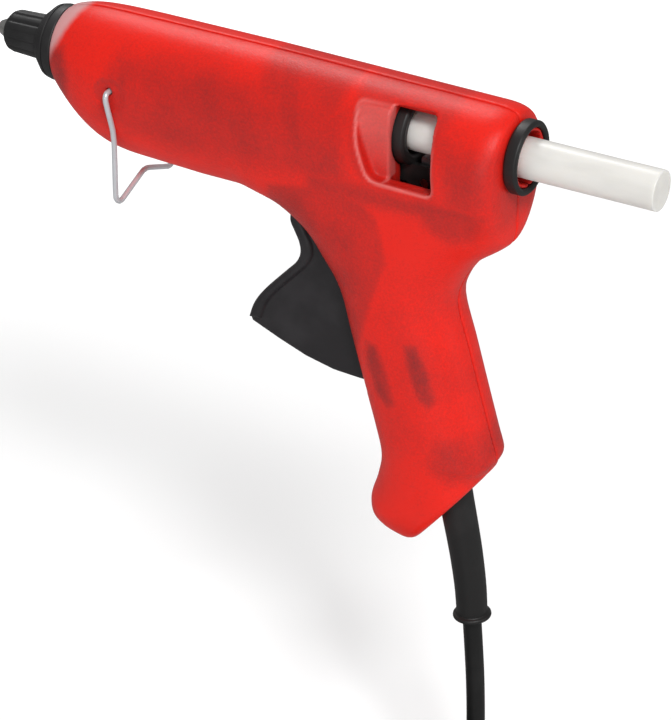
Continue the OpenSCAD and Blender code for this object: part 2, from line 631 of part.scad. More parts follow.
// The two cores run up the right-hand side of the grip and forward to the heater's tabs
// Radius of a core and the two planes in which the cores run
core_r = 0.9;
inner_y = web_w / 2 + core_r + gap + 0.1;
outer_y = inner_y + 2 * core_r + 0.1;
tab_x = front_x + 38.4;
function between(p, q, u) = p + (q - p) * u;
function core_run(y, tab) = let (low = [-52, y, -20.5], high = [tab_x + 19, y, -13.6])
    [[block_x + 5, y - 5.2, block_z + 10], [block_x + 3.4, y - 3.6, -63], [-27.5, y - 0.8, -53],
    [-36, y, -40], [-44, y, -28.5], low, between(low, high, 0.28) + [0, 0, 2.3],
    between(low, high, 0.67) + [0, 0, 1.5], high - [0, 0.25 * (y - tab), 0],
    [tab_x + 10, tab + 0.4 * (y - tab), -12.6], [tab_x + 4, tab, -11.7], [tab_x, tab, -11.7]];
module live_lead() color("saddlebrown") gun() tube(curve(core_run(outer_y, 3), 2), core_r, 6);
module neutral_lead() color("steelblue") gun() tube(curve(core_run(inner_y, -3), 2), core_r, 6);

// Route of the lead: straight down from the relief, round onto the floor and into the coil
floor_z = -232;
tie_t = 0.8;
coil_z = floor_z + tie_t;
coil_r = 24;
coil_rows = 3;
coil_out = coil_r + (coil_rows - 1) * lead_d;
drop_x = -12;
coil_at = [drop_x - coil_out, -31];
low_z = coil_z + lead_d / 2;
lead_start = relief_low - [0, relief_lip];
lead_path = [[lead_start[0], 0, lead_start[1]], [drop_x - 1.8, 0, -158], [drop_x - 1, 0, -169],
    [drop_x - 0.5, 0, -180], [drop_x - 0.2, 0, -193], [drop_x, 0, -206], [drop_x, -2, -215.2],
    [drop_x, -7, -222.6], [drop_x, -15, low_z + 1.1], [drop_x, -24, low_z], [drop_x, coil_at[1], low_z]];
module mains_lead() color("dimgray") gun() tube(curve(lead_path, 3), lead_d / 2, 8);
module lead_coil() color("dimgray") gun() translate([coil_at[0], coil_at[1], coil_z])
    rotate_extrude($fn = 72) translate([coil_r - lead_d / 2, 0]) square(coil_rows * lead_d);

// The flat band is wide enough for the bend of the turns across its width
tie_w = 8;
tie_sag = coil_r - lead_d / 2 - sqrt(pow(coil_r - lead_d / 2, 2) - pow(tie_w / 2, 2)) + pin_fit;
module lead_tie() color("black") gun() translate([coil_at[0], coil_at[1], floor_z]) {
    low = coil_r - lead_d / 2 - tie_sag;
    high = coil_out + lead_d / 2 + pin_fit;
    tall = coil_rows * lead_d + pin_fit;
    difference() {
        slab([-tie_w / 2, -high - tie_t, 0], [tie_w / 2, tie_t - low, tall + 2 * tie_t]);
        slab([-tie_w / 2 - 1, -high, tie_t - pin_fit], [tie_w / 2 + 1, -low, tall + tie_t]);
    }
}

// Tail of the lead: off the top of the coil in a rising bend to the plug that lies on it
plug_z = coil_z + coil_rows * lead_d;
plug_h = 13.6;
tail_r = 20;
tail_turn = 210;
tail_at = coil_at + (coil_out - tail_r) * [cos(tail_turn), sin(tail_turn)];
function tail_pt(a) = [tail_at[0] + tail_r * cos(a), tail_at[1] + tail_r * sin(a),
    plug_z + lead_d / 2
        + (plug_h / 2 - lead_d / 2) * (0.5 - 0.5 * cos(180 * (a - tail_turn) / (90 - tail_turn)))];
plug_at = [tail_at[0] + 3, tail_at[1] + tail_r, plug_z + plug_h / 2];
module lead_tail() color("dimgray") gun() tube(concat([for (a = [tail_turn + 8:-16:96]) tail_pt(a)],
    [plug_at - [1.5, 0, 0], plug_at - [pin_fit, 0, 0]]), lead_d / 2, 8, [0, 0, 1]);
// Length and width of the plug and reach of its pins
plug_l = 35.5;
plug_w = 26;
pin_out = 19;
module plug_body() color("dimgray") gun() translate(plug_at) difference() {
    translate([0, 0, -plug_h / 2]) linear_extrude(plug_h) polygon([[0, -4.5], [7, -5.5],
        [12, -plug_w / 2 + 1], [15, -plug_w / 2], [plug_l - 4, -plug_w / 2 + 2.5],
        [plug_l, -plug_w / 2 + 5], [plug_l, plug_w / 2 - 5], [plug_l - 4, plug_w / 2 - 2.5],
        [15, plug_w / 2], [12, plug_w / 2 - 1], [7, 5.5], [0, 4.5]]);
    // finger grooves across both flat faces
    for (s = [-1, 1], x = [15, 19, 23]) translate([x, 0, s * (plug_h / 2 + 0.3)])
        rotate([90, 0, 0]) cylinder(r = 1.2, h = 15, center = true, $fn = 20);
}
module plug_pins() color("silver") gun() for (s = [-1, 1]) translate(plug_at + [plug_l, s * 9.3, 0])
    rotate([0, 90, 0]) {
        cylinder(r = 2, h = pin_out - 1);
        translate([0, 0, pin_out - 1]) cylinder(r1 = 2, r2 = 1.2, h = 1);
    }

left_housing();
right_housing();
housing_screws();
rear_ring();
front_collar();
nozzle_sleeve();
nozzle_tip();
valve_ball();
valve_spring();
melt_chamber();
heater();
heater_clamp();
front_insulator();
rear_insulator();
inlet_seal();
seal_clip();
feed_carriage();
feed_ring();
clamp_jaw();
jaw_pin();
pull_link();
link_pin_front();
link_pin_rear();
trigger();
trigger_pin();
return_spring();
wire_stand();
glue_stick();
strain_relief();
cable_clamp();
clamp_screws();
terminal_block();
lead_sheath();
live_lead();
neutral_lead();
mains_lead();
lead_coil();
lead_tie();
lead_tail();
plug_body();
plug_pins();
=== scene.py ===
"""Dresses the trigger-fed glue gun: red housing, black trigger and nozzle, glue stick, stand and lead."""
import logging
import math
from dataclasses import dataclass, field
from enum import Enum
from typing import Any, Iterable, Sequence

import bpy
import numpy as np
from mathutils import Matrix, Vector


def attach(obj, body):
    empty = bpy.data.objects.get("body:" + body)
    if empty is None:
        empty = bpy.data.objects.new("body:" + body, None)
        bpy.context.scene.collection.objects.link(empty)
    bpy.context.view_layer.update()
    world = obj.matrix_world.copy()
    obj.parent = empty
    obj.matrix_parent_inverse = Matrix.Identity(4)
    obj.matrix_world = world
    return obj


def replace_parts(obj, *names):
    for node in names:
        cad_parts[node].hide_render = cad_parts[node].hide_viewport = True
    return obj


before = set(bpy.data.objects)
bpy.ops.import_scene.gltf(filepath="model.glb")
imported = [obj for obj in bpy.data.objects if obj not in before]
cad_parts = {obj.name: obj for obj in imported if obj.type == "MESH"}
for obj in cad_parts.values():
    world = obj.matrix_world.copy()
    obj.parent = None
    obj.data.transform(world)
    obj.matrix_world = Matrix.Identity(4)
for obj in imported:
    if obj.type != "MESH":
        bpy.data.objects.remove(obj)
LOG = logging.getLogger("glue_gun")
Array = np.ndarray
Colour = tuple[float, float, float]
MM = 0.001

# Place of the barrel's axis and of the entry ring's rear end in the row frame, in millimetres
AXIS_BACK = 32.0
AXIS_UP = 72.0

# Sockets of a Mix node that blends colours
MIX_A, MIX_B, MIX_RESULT = 6, 7, 2

# The housing's front, the trigger's pivot, the stand's eyes, and where the strain relief's axis crosses the
# butt and in which direction: X, or X and Z, in the gun's frame
FRONT = -145.5
PIVOT = (-58.0, -31.0)
PIVOT_BORE = 2.05
STAND_EYE = (-122.6, -3.2)
RELIEF_AT = (-20.19, -112.15)
RELIEF_WAY = (0.2, -0.98)


# ---------------------------------------------------------------- shader toolkit


class Op(Enum):
    """The Math node operations that the finishes use."""

    ADD = "ADD"
    SUBTRACT = "SUBTRACT"
    MULTIPLY = "MULTIPLY"
    DIVIDE = "DIVIDE"
    POWER = "POWER"
    MAXIMUM = "MAXIMUM"
    MINIMUM = "MINIMUM"


class Strand:
    """One output socket of a node tree, with Python's operators turned into Math nodes."""

    def __init__(self, board: "Board", socket: bpy.types.NodeSocket) -> None:
        """Keeps the board that the socket belongs to."""
        self.board = board
        self.socket = socket

    def _with(self, op: Op, *others: "Strand | float", first: bool = True) -> "Strand":
        """Feeds this strand and others through one Math node.

        Args:
            op: the operation.
            others: further operands.
            first: whether this strand is the left operand.

        Returns:
            The node's result.
        """
        terms = (self, *others) if first else (*others, self)
        return self.board.node("ShaderNodeMath", {"operation": op.value}, list(terms))

    def __add__(self, other: "Strand | float") -> "Strand":
        """self + other."""
        return self._with(Op.ADD, other)

    __radd__ = __add__

    def __sub__(self, other: "Strand | float") -> "Strand":
        """self - other."""
        return self._with(Op.SUBTRACT, other)

    def __rsub__(self, other: float) -> "Strand":
        """other - self."""
        return self._with(Op.SUBTRACT, other, first=False)

    def __mul__(self, other: "Strand | float") -> "Strand":
        """self * other."""
        return self._with(Op.MULTIPLY, other)

    __rmul__ = __mul__

    def __truediv__(self, other: "Strand | float") -> "Strand":
        """self / other."""
        return self._with(Op.DIVIDE, other)

    def __rtruediv__(self, other: float) -> "Strand":
        """other / self."""
        return self._with(Op.DIVIDE, other, first=False)

    def __pow__(self, power: float) -> "Strand":
        """self to a power."""
        return self._with(Op.POWER, power)

    def above(self, other: "Strand | float") -> "Strand":
        """The larger of the two."""
        return self._with(Op.MAXIMUM, other)

    def below(self, other: "Strand | float") -> "Strand":
        """The smaller of the two."""
        return self._with(Op.MINIMUM, other)

    def step(self, start: float, end: float) -> "Strand":
        """Runs smoothly from 0 at start to 1 at end; start may be the larger.

        Args:
            start: value that gives 0.
            end: value that gives 1.

        Returns:
            The mask.
        """
        flip = start > end
        low, high = sorted((start, end))
        goal = (1.0, 0.0) if flip else (0.0, 1.0)
        return self.board.node(
            "ShaderNodeMapRange", {"interpolation_type": "SMOOTHSTEP"}, [self, low, high, *goal]
        )


class Board:
    """The node tree of a material or of the world under construction."""

    def __init__(self, holder: bpy.types.Material | bpy.types.World) -> None:
        """Empties the holder's node tree.

        Args:
            holder: the material or world that the nodes belong to.
        """
        holder.use_nodes = True
        self.holder = holder
        self.tree = holder.node_tree
        self.tree.nodes.clear()

    def node(
        self,
        kind: str,
        settings: dict[str, Any] | None = None,
        inputs: Sequence[Any] | dict[str, Any] = (),
        output: int | str = 0,
    ) -> Strand:
        """Adds one node: its settings first, then the values or links of its sockets.

        Args:
            kind: the node's type.
            settings: its properties, such as a Math node's operation.
            inputs: values or strands, in order or by socket name.
            output: which output to return.

        Returns:
            The chosen output.
        """
        made = self.tree.nodes.new(kind)
        for key, value in (settings or {}).items():
            setattr(made, key, value)
        pairs = inputs.items() if isinstance(inputs, dict) else enumerate(inputs)
        for key, value in pairs:
            if isinstance(value, Strand):
                self.tree.links.new(value.socket, made.inputs[key])
            elif value is not None:
                made.inputs[key].default_value = value
        return Strand(self, made.outputs[output])

    def place(self) -> Strand:
        """Object coordinates, which are the row frame in metres."""
        return self.node("ShaderNodeTexCoord", output="Object")

    def axes(self) -> tuple[Strand, Strand, Strand]:
        """Splits the object coordinates.

        Returns:
            X, Y and Z of the gun's own frame, in millimetres.
        """
        split = self.node("ShaderNodeSeparateXYZ", inputs=[self.place()])
        x, y, z = (Strand(self, split.socket.node.outputs[i]) for i in range(3))
        return x / MM - AXIS_BACK, y / MM, z / MM - AXIS_UP

    def ray(self, kind: str) -> Strand:
        """1 for rays of one kind, Camera or Glossy, and 0 for others."""
        return self.node("ShaderNodeLightPath", output=f"Is {kind} Ray")

    def noise(
        self, size_mm: float, detail: float = 2.0, rough: float = 0.5, where: Strand | None = None
    ) -> Strand:
        """Soft noise from 0 to 1.

        Args:
            size_mm: width of its lumps.
            detail: how many finer layers are added.
            rough: how strong the finer layers are.
            where: coordinates, or None for the object's own.

        Returns:
            The noise.
        """
        scale = 1 / (size_mm * MM)
        vector = where or self.place()
        inputs = {"Vector": vector, "Scale": scale, "Detail": detail, "Roughness": rough}
        return self.node("ShaderNodeTexNoise", inputs=inputs)

    def cells(self, size_mm: float) -> Strand:
        """Distance to the nearest point of a scatter about size_mm apart."""
        inputs = {"Vector": self.place(), "Scale": 1 / (size_mm * MM)}
        return self.node("ShaderNodeTexVoronoi", inputs=inputs)

    def stretched(self, sx: float, sy: float, sz: float) -> Strand:
        """Object coordinates scaled apart on each axis."""
        return self.node("ShaderNodeVectorMath", {"operation": "MULTIPLY"}, [self.place(), (sx, sy, sz)])

    def mix(self, share: Strand | float, a: Colour | Strand, b: Colour | Strand) -> Strand:
        """Blends two colours.

        Args:
            share: 0 for a, 1 for b.
            a: a colour or a strand that carries one.
            b: the same for the other end.

        Returns:
            The blend.
        """
        a, b = (c if isinstance(c, Strand) else (*c, 1.0) for c in (a, b))
        inputs = {"Factor": share, MIX_A: a, MIX_B: b}
        return self.node("ShaderNodeMix", {"data_type": "RGBA"}, inputs, output=MIX_RESULT)

    def bump(self, height: Strand, depth_mm: float, strength: float) -> Strand:
        """Turns a relief into a normal.

        Args:
            height: the relief, from 0 to 1.
            depth_mm: its depth.
            strength: its share, from 0 to 1.

        Returns:
            The normal.
        """
        inputs = {"Strength": strength, "Distance": depth_mm * MM, "Height": height}
        return self.node("ShaderNodeBump", inputs=inputs)

    def finish(self, **sockets: Any) -> bpy.types.Material:
        """Ends the material with one Principled shader.

        Args:
            sockets: values or strands by socket name, with underscores for spaces.

        Returns:
            The material.
        """
        inputs = {key.replace("_", " "): value for key, value in sockets.items()}
        self.close("ShaderNodeOutputMaterial", self.node("ShaderNodeBsdfPrincipled", inputs=inputs))
        return self.holder

    def close(self, kind: str, shader: Strand) -> None:
        """Links a shader to the output node that ends the tree."""
        self.tree.links.new(shader.socket, self.tree.nodes.new(kind).inputs["Surface"])


def grey(level: float) -> Colour:
    """A colour without hue."""
    return (level, level, level)


# ---------------------------------------------------------------- finishes


@dataclass(frozen=True)
class Finish:
    """A finish that is made into a material once and then shared."""

    name: str

    def build(self) -> bpy.types.Material:
        """Makes the material."""
        raise NotImplementedError

    def title(self) -> str:
        """Name of the material, apart from the plain materials of the bodies."""
        return f"{self.name}_finish"

    def material(self) -> bpy.types.Material:
        """The finish's material, made at its first use."""
        return bpy.data.materials.get(self.title()) or self.build()


@dataclass(frozen=True)
class Shade:
    """Outline of painted shade in the barrel's plane: an inner part that lies close behind the wall and
    darkens it, or a band of the side, the stand's recess or a zone of the grip that gets less light.

    Lengths are millimetres in the gun's frame; depth is how far it darkens and soft is how wide its edge is.
    """

    outline: tuple[tuple[float, float], ...]
    depth: float
    soft: float

    def at(self, x: Array, z: Array) -> Array:
        """Darkening at points: depth * (1 - smoothstep) of the distance to the outline.

        Args:
            x: places along the barrel.
            z: heights.

        Returns:
            The darkening, from 0 to depth.
        """
        away = outline_distance(np.array(self.outline, float), x, z)
        t = np.clip(0.5 + 0.5 * away / self.soft, 0, 1)
        return self.depth * (1 - t * t * (3 - 2 * t))


@dataclass(frozen=True)
class FrostedRed(Finish):
    """Frosted translucent red moulding: deep red with a fine grain and random clouds, painted shade where the
    mesh's inner attribute marks a part behind the wall or a zone that gets less light, painted light on the
    top of the nose's rim, and painted highlights on the edges that the pale attribute marks."""

    red: Colour = (0.80, 0.014, 0.006)
    # Tone of the painted shade and of the darker clouds
    deep: Colour = (0.19, 0.02, 0.02)
    # Painted light on the top of the nose's rim
    pale: Colour = (0.62, 0.36, 0.36)
    # Painted highlight on the rims of the window's recess and opening, and painted reflection on its cheek
    edge: Colour = (0.86, 0.30, 0.28)
    roughness: float = 0.36
    cloud_mm: float = 11
    broad_mm: float = 34
    speck_mm: float = 0.7
    grain_mm: float = 0.42
    # Place of the painted light on the nose's rim: behind a slanted line, and rising towards the top
    nose_light_x: tuple[float, float] = (-143.0, -146.0)
    nose_light_z: tuple[float, float] = (-4.0, 5.0)
    nose_light_lean: float = 0.42

    def build(self) -> bpy.types.Material:
        """Red mixed towards the deep tone by the painted shade of the attribute and by the clouds, and
        towards the pale tones of painted light and painted highlights.

        Returns:
            The material.
        """
        b = Board(bpy.data.materials.new(self.title()))
        x, y, z = b.axes()
        cloud = b.noise(self.cloud_mm, 3, 0.55)
        broad = b.noise(self.broad_mm, 2, 0.5)
        # The inner attribute is painted shade: inner parts seen through the wall, and zones that get less
        # light
        inner = b.node("ShaderNodeAttribute", {"attribute_name": "inner"}, output="Fac")
        speck = b.noise(self.speck_mm, 3, 0.7)
        clouds = (broad - 0.42) * 0.3 + (cloud - 0.5) * 0.35 + (speck - 0.5) * 0.8
        # Painted shade from the attribute, with random clouds of tone
        veil = inner * (0.75 + cloud * 0.5) + clouds
        colour = b.mix(veil.above(0.0).below(1.0), self.red, self.deep)
        # Painted light: the nose's rim is paled towards its top
        slant = x - z * self.nose_light_lean + (cloud - 0.5) * 3.0
        rim = slant.step(*self.nose_light_x) * z.step(*self.nose_light_z)
        colour = b.mix(rim * 0.85, colour, self.pale)
        # Painted highlights and painted reflection from the pale attribute
        highlight_mark = b.node("ShaderNodeAttribute", {"attribute_name": "pale"}, output="Fac")
        colour = b.mix(highlight_mark * 0.7, colour, self.edge)
        fine = b.noise(self.grain_mm, 3, 0.7)
        return b.finish(
            Base_Color=colour,
            Roughness=self.roughness + (fine - 0.5) * 0.3,
            Normal=b.bump(fine, 0.1, 0.8),
            Subsurface_Weight=0.06,
            Subsurface_Radius=(0.004, 0.0006, 0.0005),
            Subsurface_Scale=1.0,
            IOR=1.34,
        )


@dataclass(frozen=True)
class MouldedBlack(Finish):
    """Black glass-filled plastic with a fine spark-eroded grain and broad patches rubbed a little paler."""

    tone: Colour = (0.017, 0.015, 0.017)
    worn: Colour = (0.032, 0.029, 0.032)
    roughness: float = 0.42
    grain_mm: float = 0.35
    depth_mm: float = 0.04

    def build(self) -> bpy.types.Material:
        """Tone and roughness from broad handling marks, relief from the grain.

        Returns:
            The material.
        """
        b = Board(bpy.data.materials.new(self.title()))
        broad = b.noise(16, 3, 0.6)
        grain = b.noise(self.grain_mm, 3, 0.6)
        colour = b.mix(broad.step(0.42, 0.75) * 0.7 + (grain - 0.5) * 0.3, self.tone, self.worn)
        return b.finish(
            Base_Color=colour,
            Roughness=self.roughness + (broad - 0.5) * 0.16 + (grain - 0.5) * 0.12,
            Normal=b.bump(grain, self.depth_mm, 0.6),
            IOR=1.5,
        )


@dataclass(frozen=True)
class DrawnSteel(Finish):
    """Steel wire or stamped steel with fine draw lines along one axis, and zinc bloom on galvanised wire."""

    tone: Colour = (0.60, 0.60, 0.61)
    dull: Colour = (0.40, 0.41, 0.42)
    roughness: float = 0.3
    metal: float = 1.0
    lines: tuple[float, float, float] = (1.0, 1.0, 0.05)

    def build(self) -> bpy.types.Material:
        """Streaks stretched along the axis with the smallest factor, over a broad bloom.

        Returns:
            The material.
        """
        b = Board(bpy.data.materials.new(self.title()))
        streak = b.noise(0.5, 3, 0.7, b.stretched(*self.lines))
        bloom = b.noise(5, 3, 0.6)
        return b.finish(
            Base_Color=b.mix(streak * 0.5 + bloom * 0.4 - 0.1, self.tone, self.dull),
            Metallic=self.metal,
            Roughness=self.roughness + (bloom - 0.5) * 0.2 + (streak - 0.5) * 0.12,
            Normal=b.bump(streak, 0.02, 0.4),
        )


@dataclass(frozen=True)
class CastMetal(Finish):
    """Die-cast or turned metal with a pitted skin."""

    tone: Colour = (0.62, 0.62, 0.63)
    dull: Colour = (0.42, 0.42, 0.43)
    roughness: float = 0.42

    def build(self) -> bpy.types.Material:
        """Pits from a point scatter, tone from soft noise.

        Returns:
            The material.
        """
        b = Board(bpy.data.materials.new(self.title()))
        pits = b.cells(0.7)
        tone = b.noise(4, 3, 0.6)
        return b.finish(
            Base_Color=b.mix(tone.step(0.3, 0.8), self.tone, self.dull),
            Metallic=1.0,
            Roughness=self.roughness + (tone - 0.5) * 0.25,
            Normal=b.bump(pits, 0.04, 0.4),
        )


@dataclass(frozen=True)
class WaxyGlue(Finish):
    """Hot-melt glue: milky and waxy, with faint pearly clouds drawn along the stick and a cut end."""

    milk: Colour = (0.76, 0.745, 0.71)
    shade: Colour = (0.66, 0.645, 0.615)

    def build(self) -> bpy.types.Material:
        """Clouds stretched along X, with light carried under the surface.

        Returns:
            The material.
        """
        b = Board(bpy.data.materials.new(self.title()))
        cloud = b.noise(7, 3, 0.55, b.stretched(0.35, 1.0, 1.0))
        drag = b.noise(1.2, 2, 0.5, b.stretched(0.15, 1.0, 1.0))
        share = cloud.step(0.35, 0.72) * 0.55 + (drag - 0.5) * 0.3
        return b.finish(
            Base_Color=b.mix(share, self.milk, self.shade),
            Roughness=0.33 + (drag - 0.5) * 0.2,
            Normal=b.bump(drag, 0.05, 0.35),
            Subsurface_Weight=0.35,
            Subsurface_Radius=(0.004, 0.0038, 0.0032),
            Subsurface_Scale=1.0,
            IOR=1.48,
        )


@dataclass(frozen=True)
class PlainMoulding(Finish):
    """A pale, coloured or rubbery moulding whose tone drifts a little and whose skin is finely uneven."""

    tone: Colour = (0.8, 0.78, 0.72)
    drift: Colour = (0.7, 0.67, 0.6)
    roughness: float = 0.5
    grain_mm: float = 0.6
    depth_mm: float = 0.03

    def build(self) -> bpy.types.Material:
        """Two tones mixed by soft noise, with a fine relief.

        Returns:
            The material.
        """
        b = Board(bpy.data.materials.new(self.title()))
        tone = b.noise(6, 3, 0.6)
        grain = b.noise(self.grain_mm, 3, 0.6)
        return b.finish(
            Base_Color=b.mix(tone.step(0.3, 0.75), self.tone, self.drift),
            Roughness=self.roughness + (grain - 0.5) * 0.2,
            Normal=b.bump(grain, self.depth_mm, 0.5),
        )


# Painted shade: inner parts seen darker through the frosted wall (trigger web, rails, carriage, ribs,
# chamber, bulkhead, bosses and butt), the stand's recess, and broad bands of the barrel and grip where less
# light falls
PAINTED_SHADES = (
    Shade(((-76, -30), (-72, -19), (-60, -16.5), (-50, -15), (-43, -17), (-38.5, -21), (-36.5, -28),
           (-36, -34), (-38.5, -43), (-41.5, -51), (-43.5, -58), (-48, -68), (-62, -60)), 0.46, 1.6),
    Shade(((-60, -12), (-44, -11.5), (-4, -11.5), (-5, -15), (-12, -16), (-24, -16), (-40, -17.5),
           (-60, -18)), 0.5, 3.0),
    Shade(((-26, -13), (-5, -12), (-7, -17), (-11, -21.5), (-16.5, -23.5), (-21.5, -21),
           (-25, -17)), 0.42, 3.0),
    Shade(((-30.6, -58), (-27, -57.5), (-23.6, -65), (-20.8, -74), (-22.4, -76.6), (-25.6, -74),
           (-29, -65)), 0.6, 1.6),
    Shade(((-42, -60), (-38.4, -60.5), (-34.5, -70), (-32.6, -77), (-35, -79.4), (-38.4, -76),
           (-42, -68)), 0.62, 2.0),
    Shade(((-21, -85), (-9, -84), (-4, -91), (-8, -97), (-16, -99), (-23, -94)), 0.45, 4.5),
    Shade(((-77, 15), (-50, 15), (-51, 5), (-56, -4), (-63, -8), (-70, -6), (-76, 2)), 0.42, 3.0),
    Shade(((-72, 14), (-66, 14), (-62, 6), (-60, -3), (-64, -4), (-69, 4)), 0.5, 1.6),
    # Painted shade: a broad band over the barrel's side, where less light falls than on its top
    Shade(((-110, -14), (-70, -15), (-54, -12), (-54, 2), (-80, 8), (-110, 6)), 0.24, 5.0),
    Shade(((-48.5, 15), (-19.5, 15), (-19.5, -11.5), (-41, -11.5), (-47, -4)), 0.3, 2.5),
    # Painted shade in the stand's recess, over its boss
    Shade(((-126.4, -6.4), (-123.6, -8.0), (-121.6, -7.4), (-119.6, -8.6), (-117.6, -7.4),
           (-117.8, -3.8), (-119.4, -0.6), (-121.8, 1.2), (-124.8, 0.8), (-127.0, -1.4),
           (-127.4, -4.4)), 0.4, 0.7),
    # Painted shade: the middle of the barrel's side, darker than its lit top and lower edge
    Shade(((-128, -12), (-120, 7), (-100, 9), (-48, 8), (-48, -13), (-100, -16)), 0.42, 5.0),
    # Painted shade: the side behind the window
    Shade(((-21, 7), (-3, 5), (-3, -14), (-18, -12)), 0.4, 5.0),
    Shade(((-138, 3), (-129, 4), (-126, -4), (-130, -14), (-137, -9)), 0.06, 4.0),
    Shade(((-146, 3), (-139.5, 5), (-137, -3), (-140, -12), (-146, -10)), 0.55, 2.5),
    Shade(((-9, 2), (3, 2), (3, -20), (-7, -18)), 0.34, 4.0),
    # Painted shade: a weak zone on the grip's middle
    Shade(((-40, -38), (-20, -36), (-14, -60), (-8, -92), (-22, -100), (-38, -92)), 0.14, 7.0),
)

HOUSING_RED = FrostedRed("housing_red")
# Near-black partly as painted shade: the carriage stands for the dark gap seen under the feed ring through
# the window
CARRIAGE_BLACK = MouldedBlack(
    "carriage_black", tone=(0.012, 0.011, 0.011), worn=(0.03, 0.027, 0.027), roughness=0.35,
)
TRIGGER_BLACK = MouldedBlack("trigger_black")
NOZZLE_BLACK = MouldedBlack(
    "nozzle_black", tone=(0.014, 0.0135, 0.014), worn=(0.028, 0.027, 0.028), roughness=0.5,
)
RING_BLACK = MouldedBlack(
    "ring_black", tone=(0.011, 0.0105, 0.0105), worn=(0.022, 0.021, 0.021), roughness=0.48,
)
CORD_BLACK = MouldedBlack(
    "cord_black", tone=(0.006, 0.006, 0.006), worn=(0.013, 0.013, 0.0125), roughness=0.45,
    grain_mm=1.2, depth_mm=0.02,
)
ZINC_WIRE = DrawnSteel(
    "zinc_wire", tone=(0.72, 0.73, 0.76), dull=(0.5, 0.51, 0.54), roughness=0.34, metal=0.35,
)
SCREW_STEEL = DrawnSteel("screw_steel", lines=(1.0, 0.1, 1.0))
SPRING_STEEL = DrawnSteel("spring_steel", tone=(0.46, 0.46, 0.48), dull=(0.3, 0.3, 0.31), roughness=0.34)
CAST_ALUMINIUM = CastMetal("cast_aluminium")
NICKEL_TIP = CastMetal("nickel_tip", tone=(0.72, 0.71, 0.69), dull=(0.55, 0.53, 0.5), roughness=0.28)
GLUE = WaxyGlue("glue")
CERAMIC = PlainMoulding("ceramic", roughness=0.7)
SILICONE = PlainMoulding("silicone", tone=(0.78, 0.76, 0.7), drift=(0.7, 0.66, 0.58), roughness=0.4)
NYLON_GREY = PlainMoulding("nylon_grey", tone=(0.36, 0.37, 0.39), drift=(0.28, 0.29, 0.31))
CORE_BROWN = PlainMoulding("core_brown", tone=(0.2, 0.085, 0.04), drift=(0.15, 0.06, 0.03), roughness=0.4)
CORE_BLUE = PlainMoulding("core_blue", tone=(0.05, 0.14, 0.42), drift=(0.04, 0.11, 0.33), roughness=0.4)


# ---------------------------------------------------------------- mesh toolkit


def to_row(points: Array) -> Array:
    """Millimetres in the gun's frame to metres in the row frame."""
    return (points + np.array([AXIS_BACK, 0.0, AXIS_UP])) * MM


def add_object(name: str, data: bpy.types.ID) -> bpy.types.Object:
    """Adds an object to the scene, at the origin.

    Args:
        name: its name.
        data: its mesh, curve, camera or light.

    Returns:
        The object.
    """
    made = bpy.data.objects.new(name, data)
    bpy.context.scene.collection.objects.link(made)
    return made


def put_mesh(
    name: str, points: Array, faces: Array, finish: Finish, marks: dict[str, Array] | None = None
) -> bpy.types.Object:
    """Makes an object from arrays.

    Args:
        name: the object's name.
        points: vertices in millimetres in the gun's frame, (n, 3).
        faces: vertex numbers, (m, 3) or (m, 4), counter-clockwise from outside.
        finish: its finish.
        marks: values at the vertices, by attribute name.

    Returns:
        The object, at the origin.
    """
    mesh = bpy.data.meshes.new(name)
    count, corners = faces.shape
    mesh.vertices.add(len(points))
    mesh.vertices.foreach_set("co", to_row(points).astype(np.float32).ravel())
    mesh.loops.add(count * corners)
    mesh.loops.foreach_set("vertex_index", faces.astype(np.int32).ravel())
    mesh.polygons.add(count)
    mesh.polygons.foreach_set("loop_start", np.arange(0, count * corners, corners, dtype=np.int32))
    mesh.polygons.foreach_set("use_smooth", np.ones(count, dtype=bool))
    mesh.update(calc_edges=True)
    mesh.validate()
    for key, values in (marks or {}).items():
        mesh.attributes.new(key, "FLOAT", "POINT").data.foreach_set("value", values.astype(np.float32))
    mesh.materials.append(finish.material())
    LOG.info("%s: %d points, %d faces", name, len(points), count)
    return add_object(name, mesh)


def grid_faces(rows: int, columns: int) -> Array:
    """Faces of a grid whose columns close into a ring: each joins rows i, i + 1 and columns j, j + 1.

    Args:
        rows: how many rings of points there are.
        columns: points in each ring.

    Returns:
        Vertex numbers, (n, 4).
    """
    i, j = np.meshgrid(np.arange(rows - 1), np.arange(columns), indexing="ij")
    k, row, after = (j + 1) % columns, i * columns, (i + 1) * columns
    return np.stack([row + j, row + k, after + k, after + j], -1).reshape(-1, 4)


def around(x: Array, reach: Array, angle: Array) -> Array:
    """Points (x, r cos a, r sin a) of a surface round the X axis.

    Args:
        x: place of each ring, (n,).
        reach: r, (n, m).
        angle: a, (m,).

    Returns:
        The points, ring after ring, (n m, 3).
    """
    along = np.broadcast_to(x[:, None], reach.shape)
    return np.stack([along, reach * np.cos(angle), reach * np.sin(angle)], -1).reshape(-1, 3)


def full_turn(count: int) -> Array:
    """Angles of count points evenly round a circle."""
    return np.linspace(0, 2 * np.pi, count, endpoint=False)


def capped(points: Array, faces: Array, columns: int) -> tuple[Array, Array]:
    """Closes both ends of a tube: each end ring is filled by a row of quads that join points m and m + 1
    to the points across from them.

    Args:
        points: the tube's points, ring after ring.
        faces: its faces.
        columns: points in each ring, an even number.

    Returns:
        The points, and the faces with those of the ends.
    """
    m = np.arange(columns // 2 - 1)
    fill = np.stack([m, m + 1, columns - 2 - m, columns - 1 - m], -1)
    return points, np.vstack([faces, fill[:, ::-1], fill + len(points) - columns])


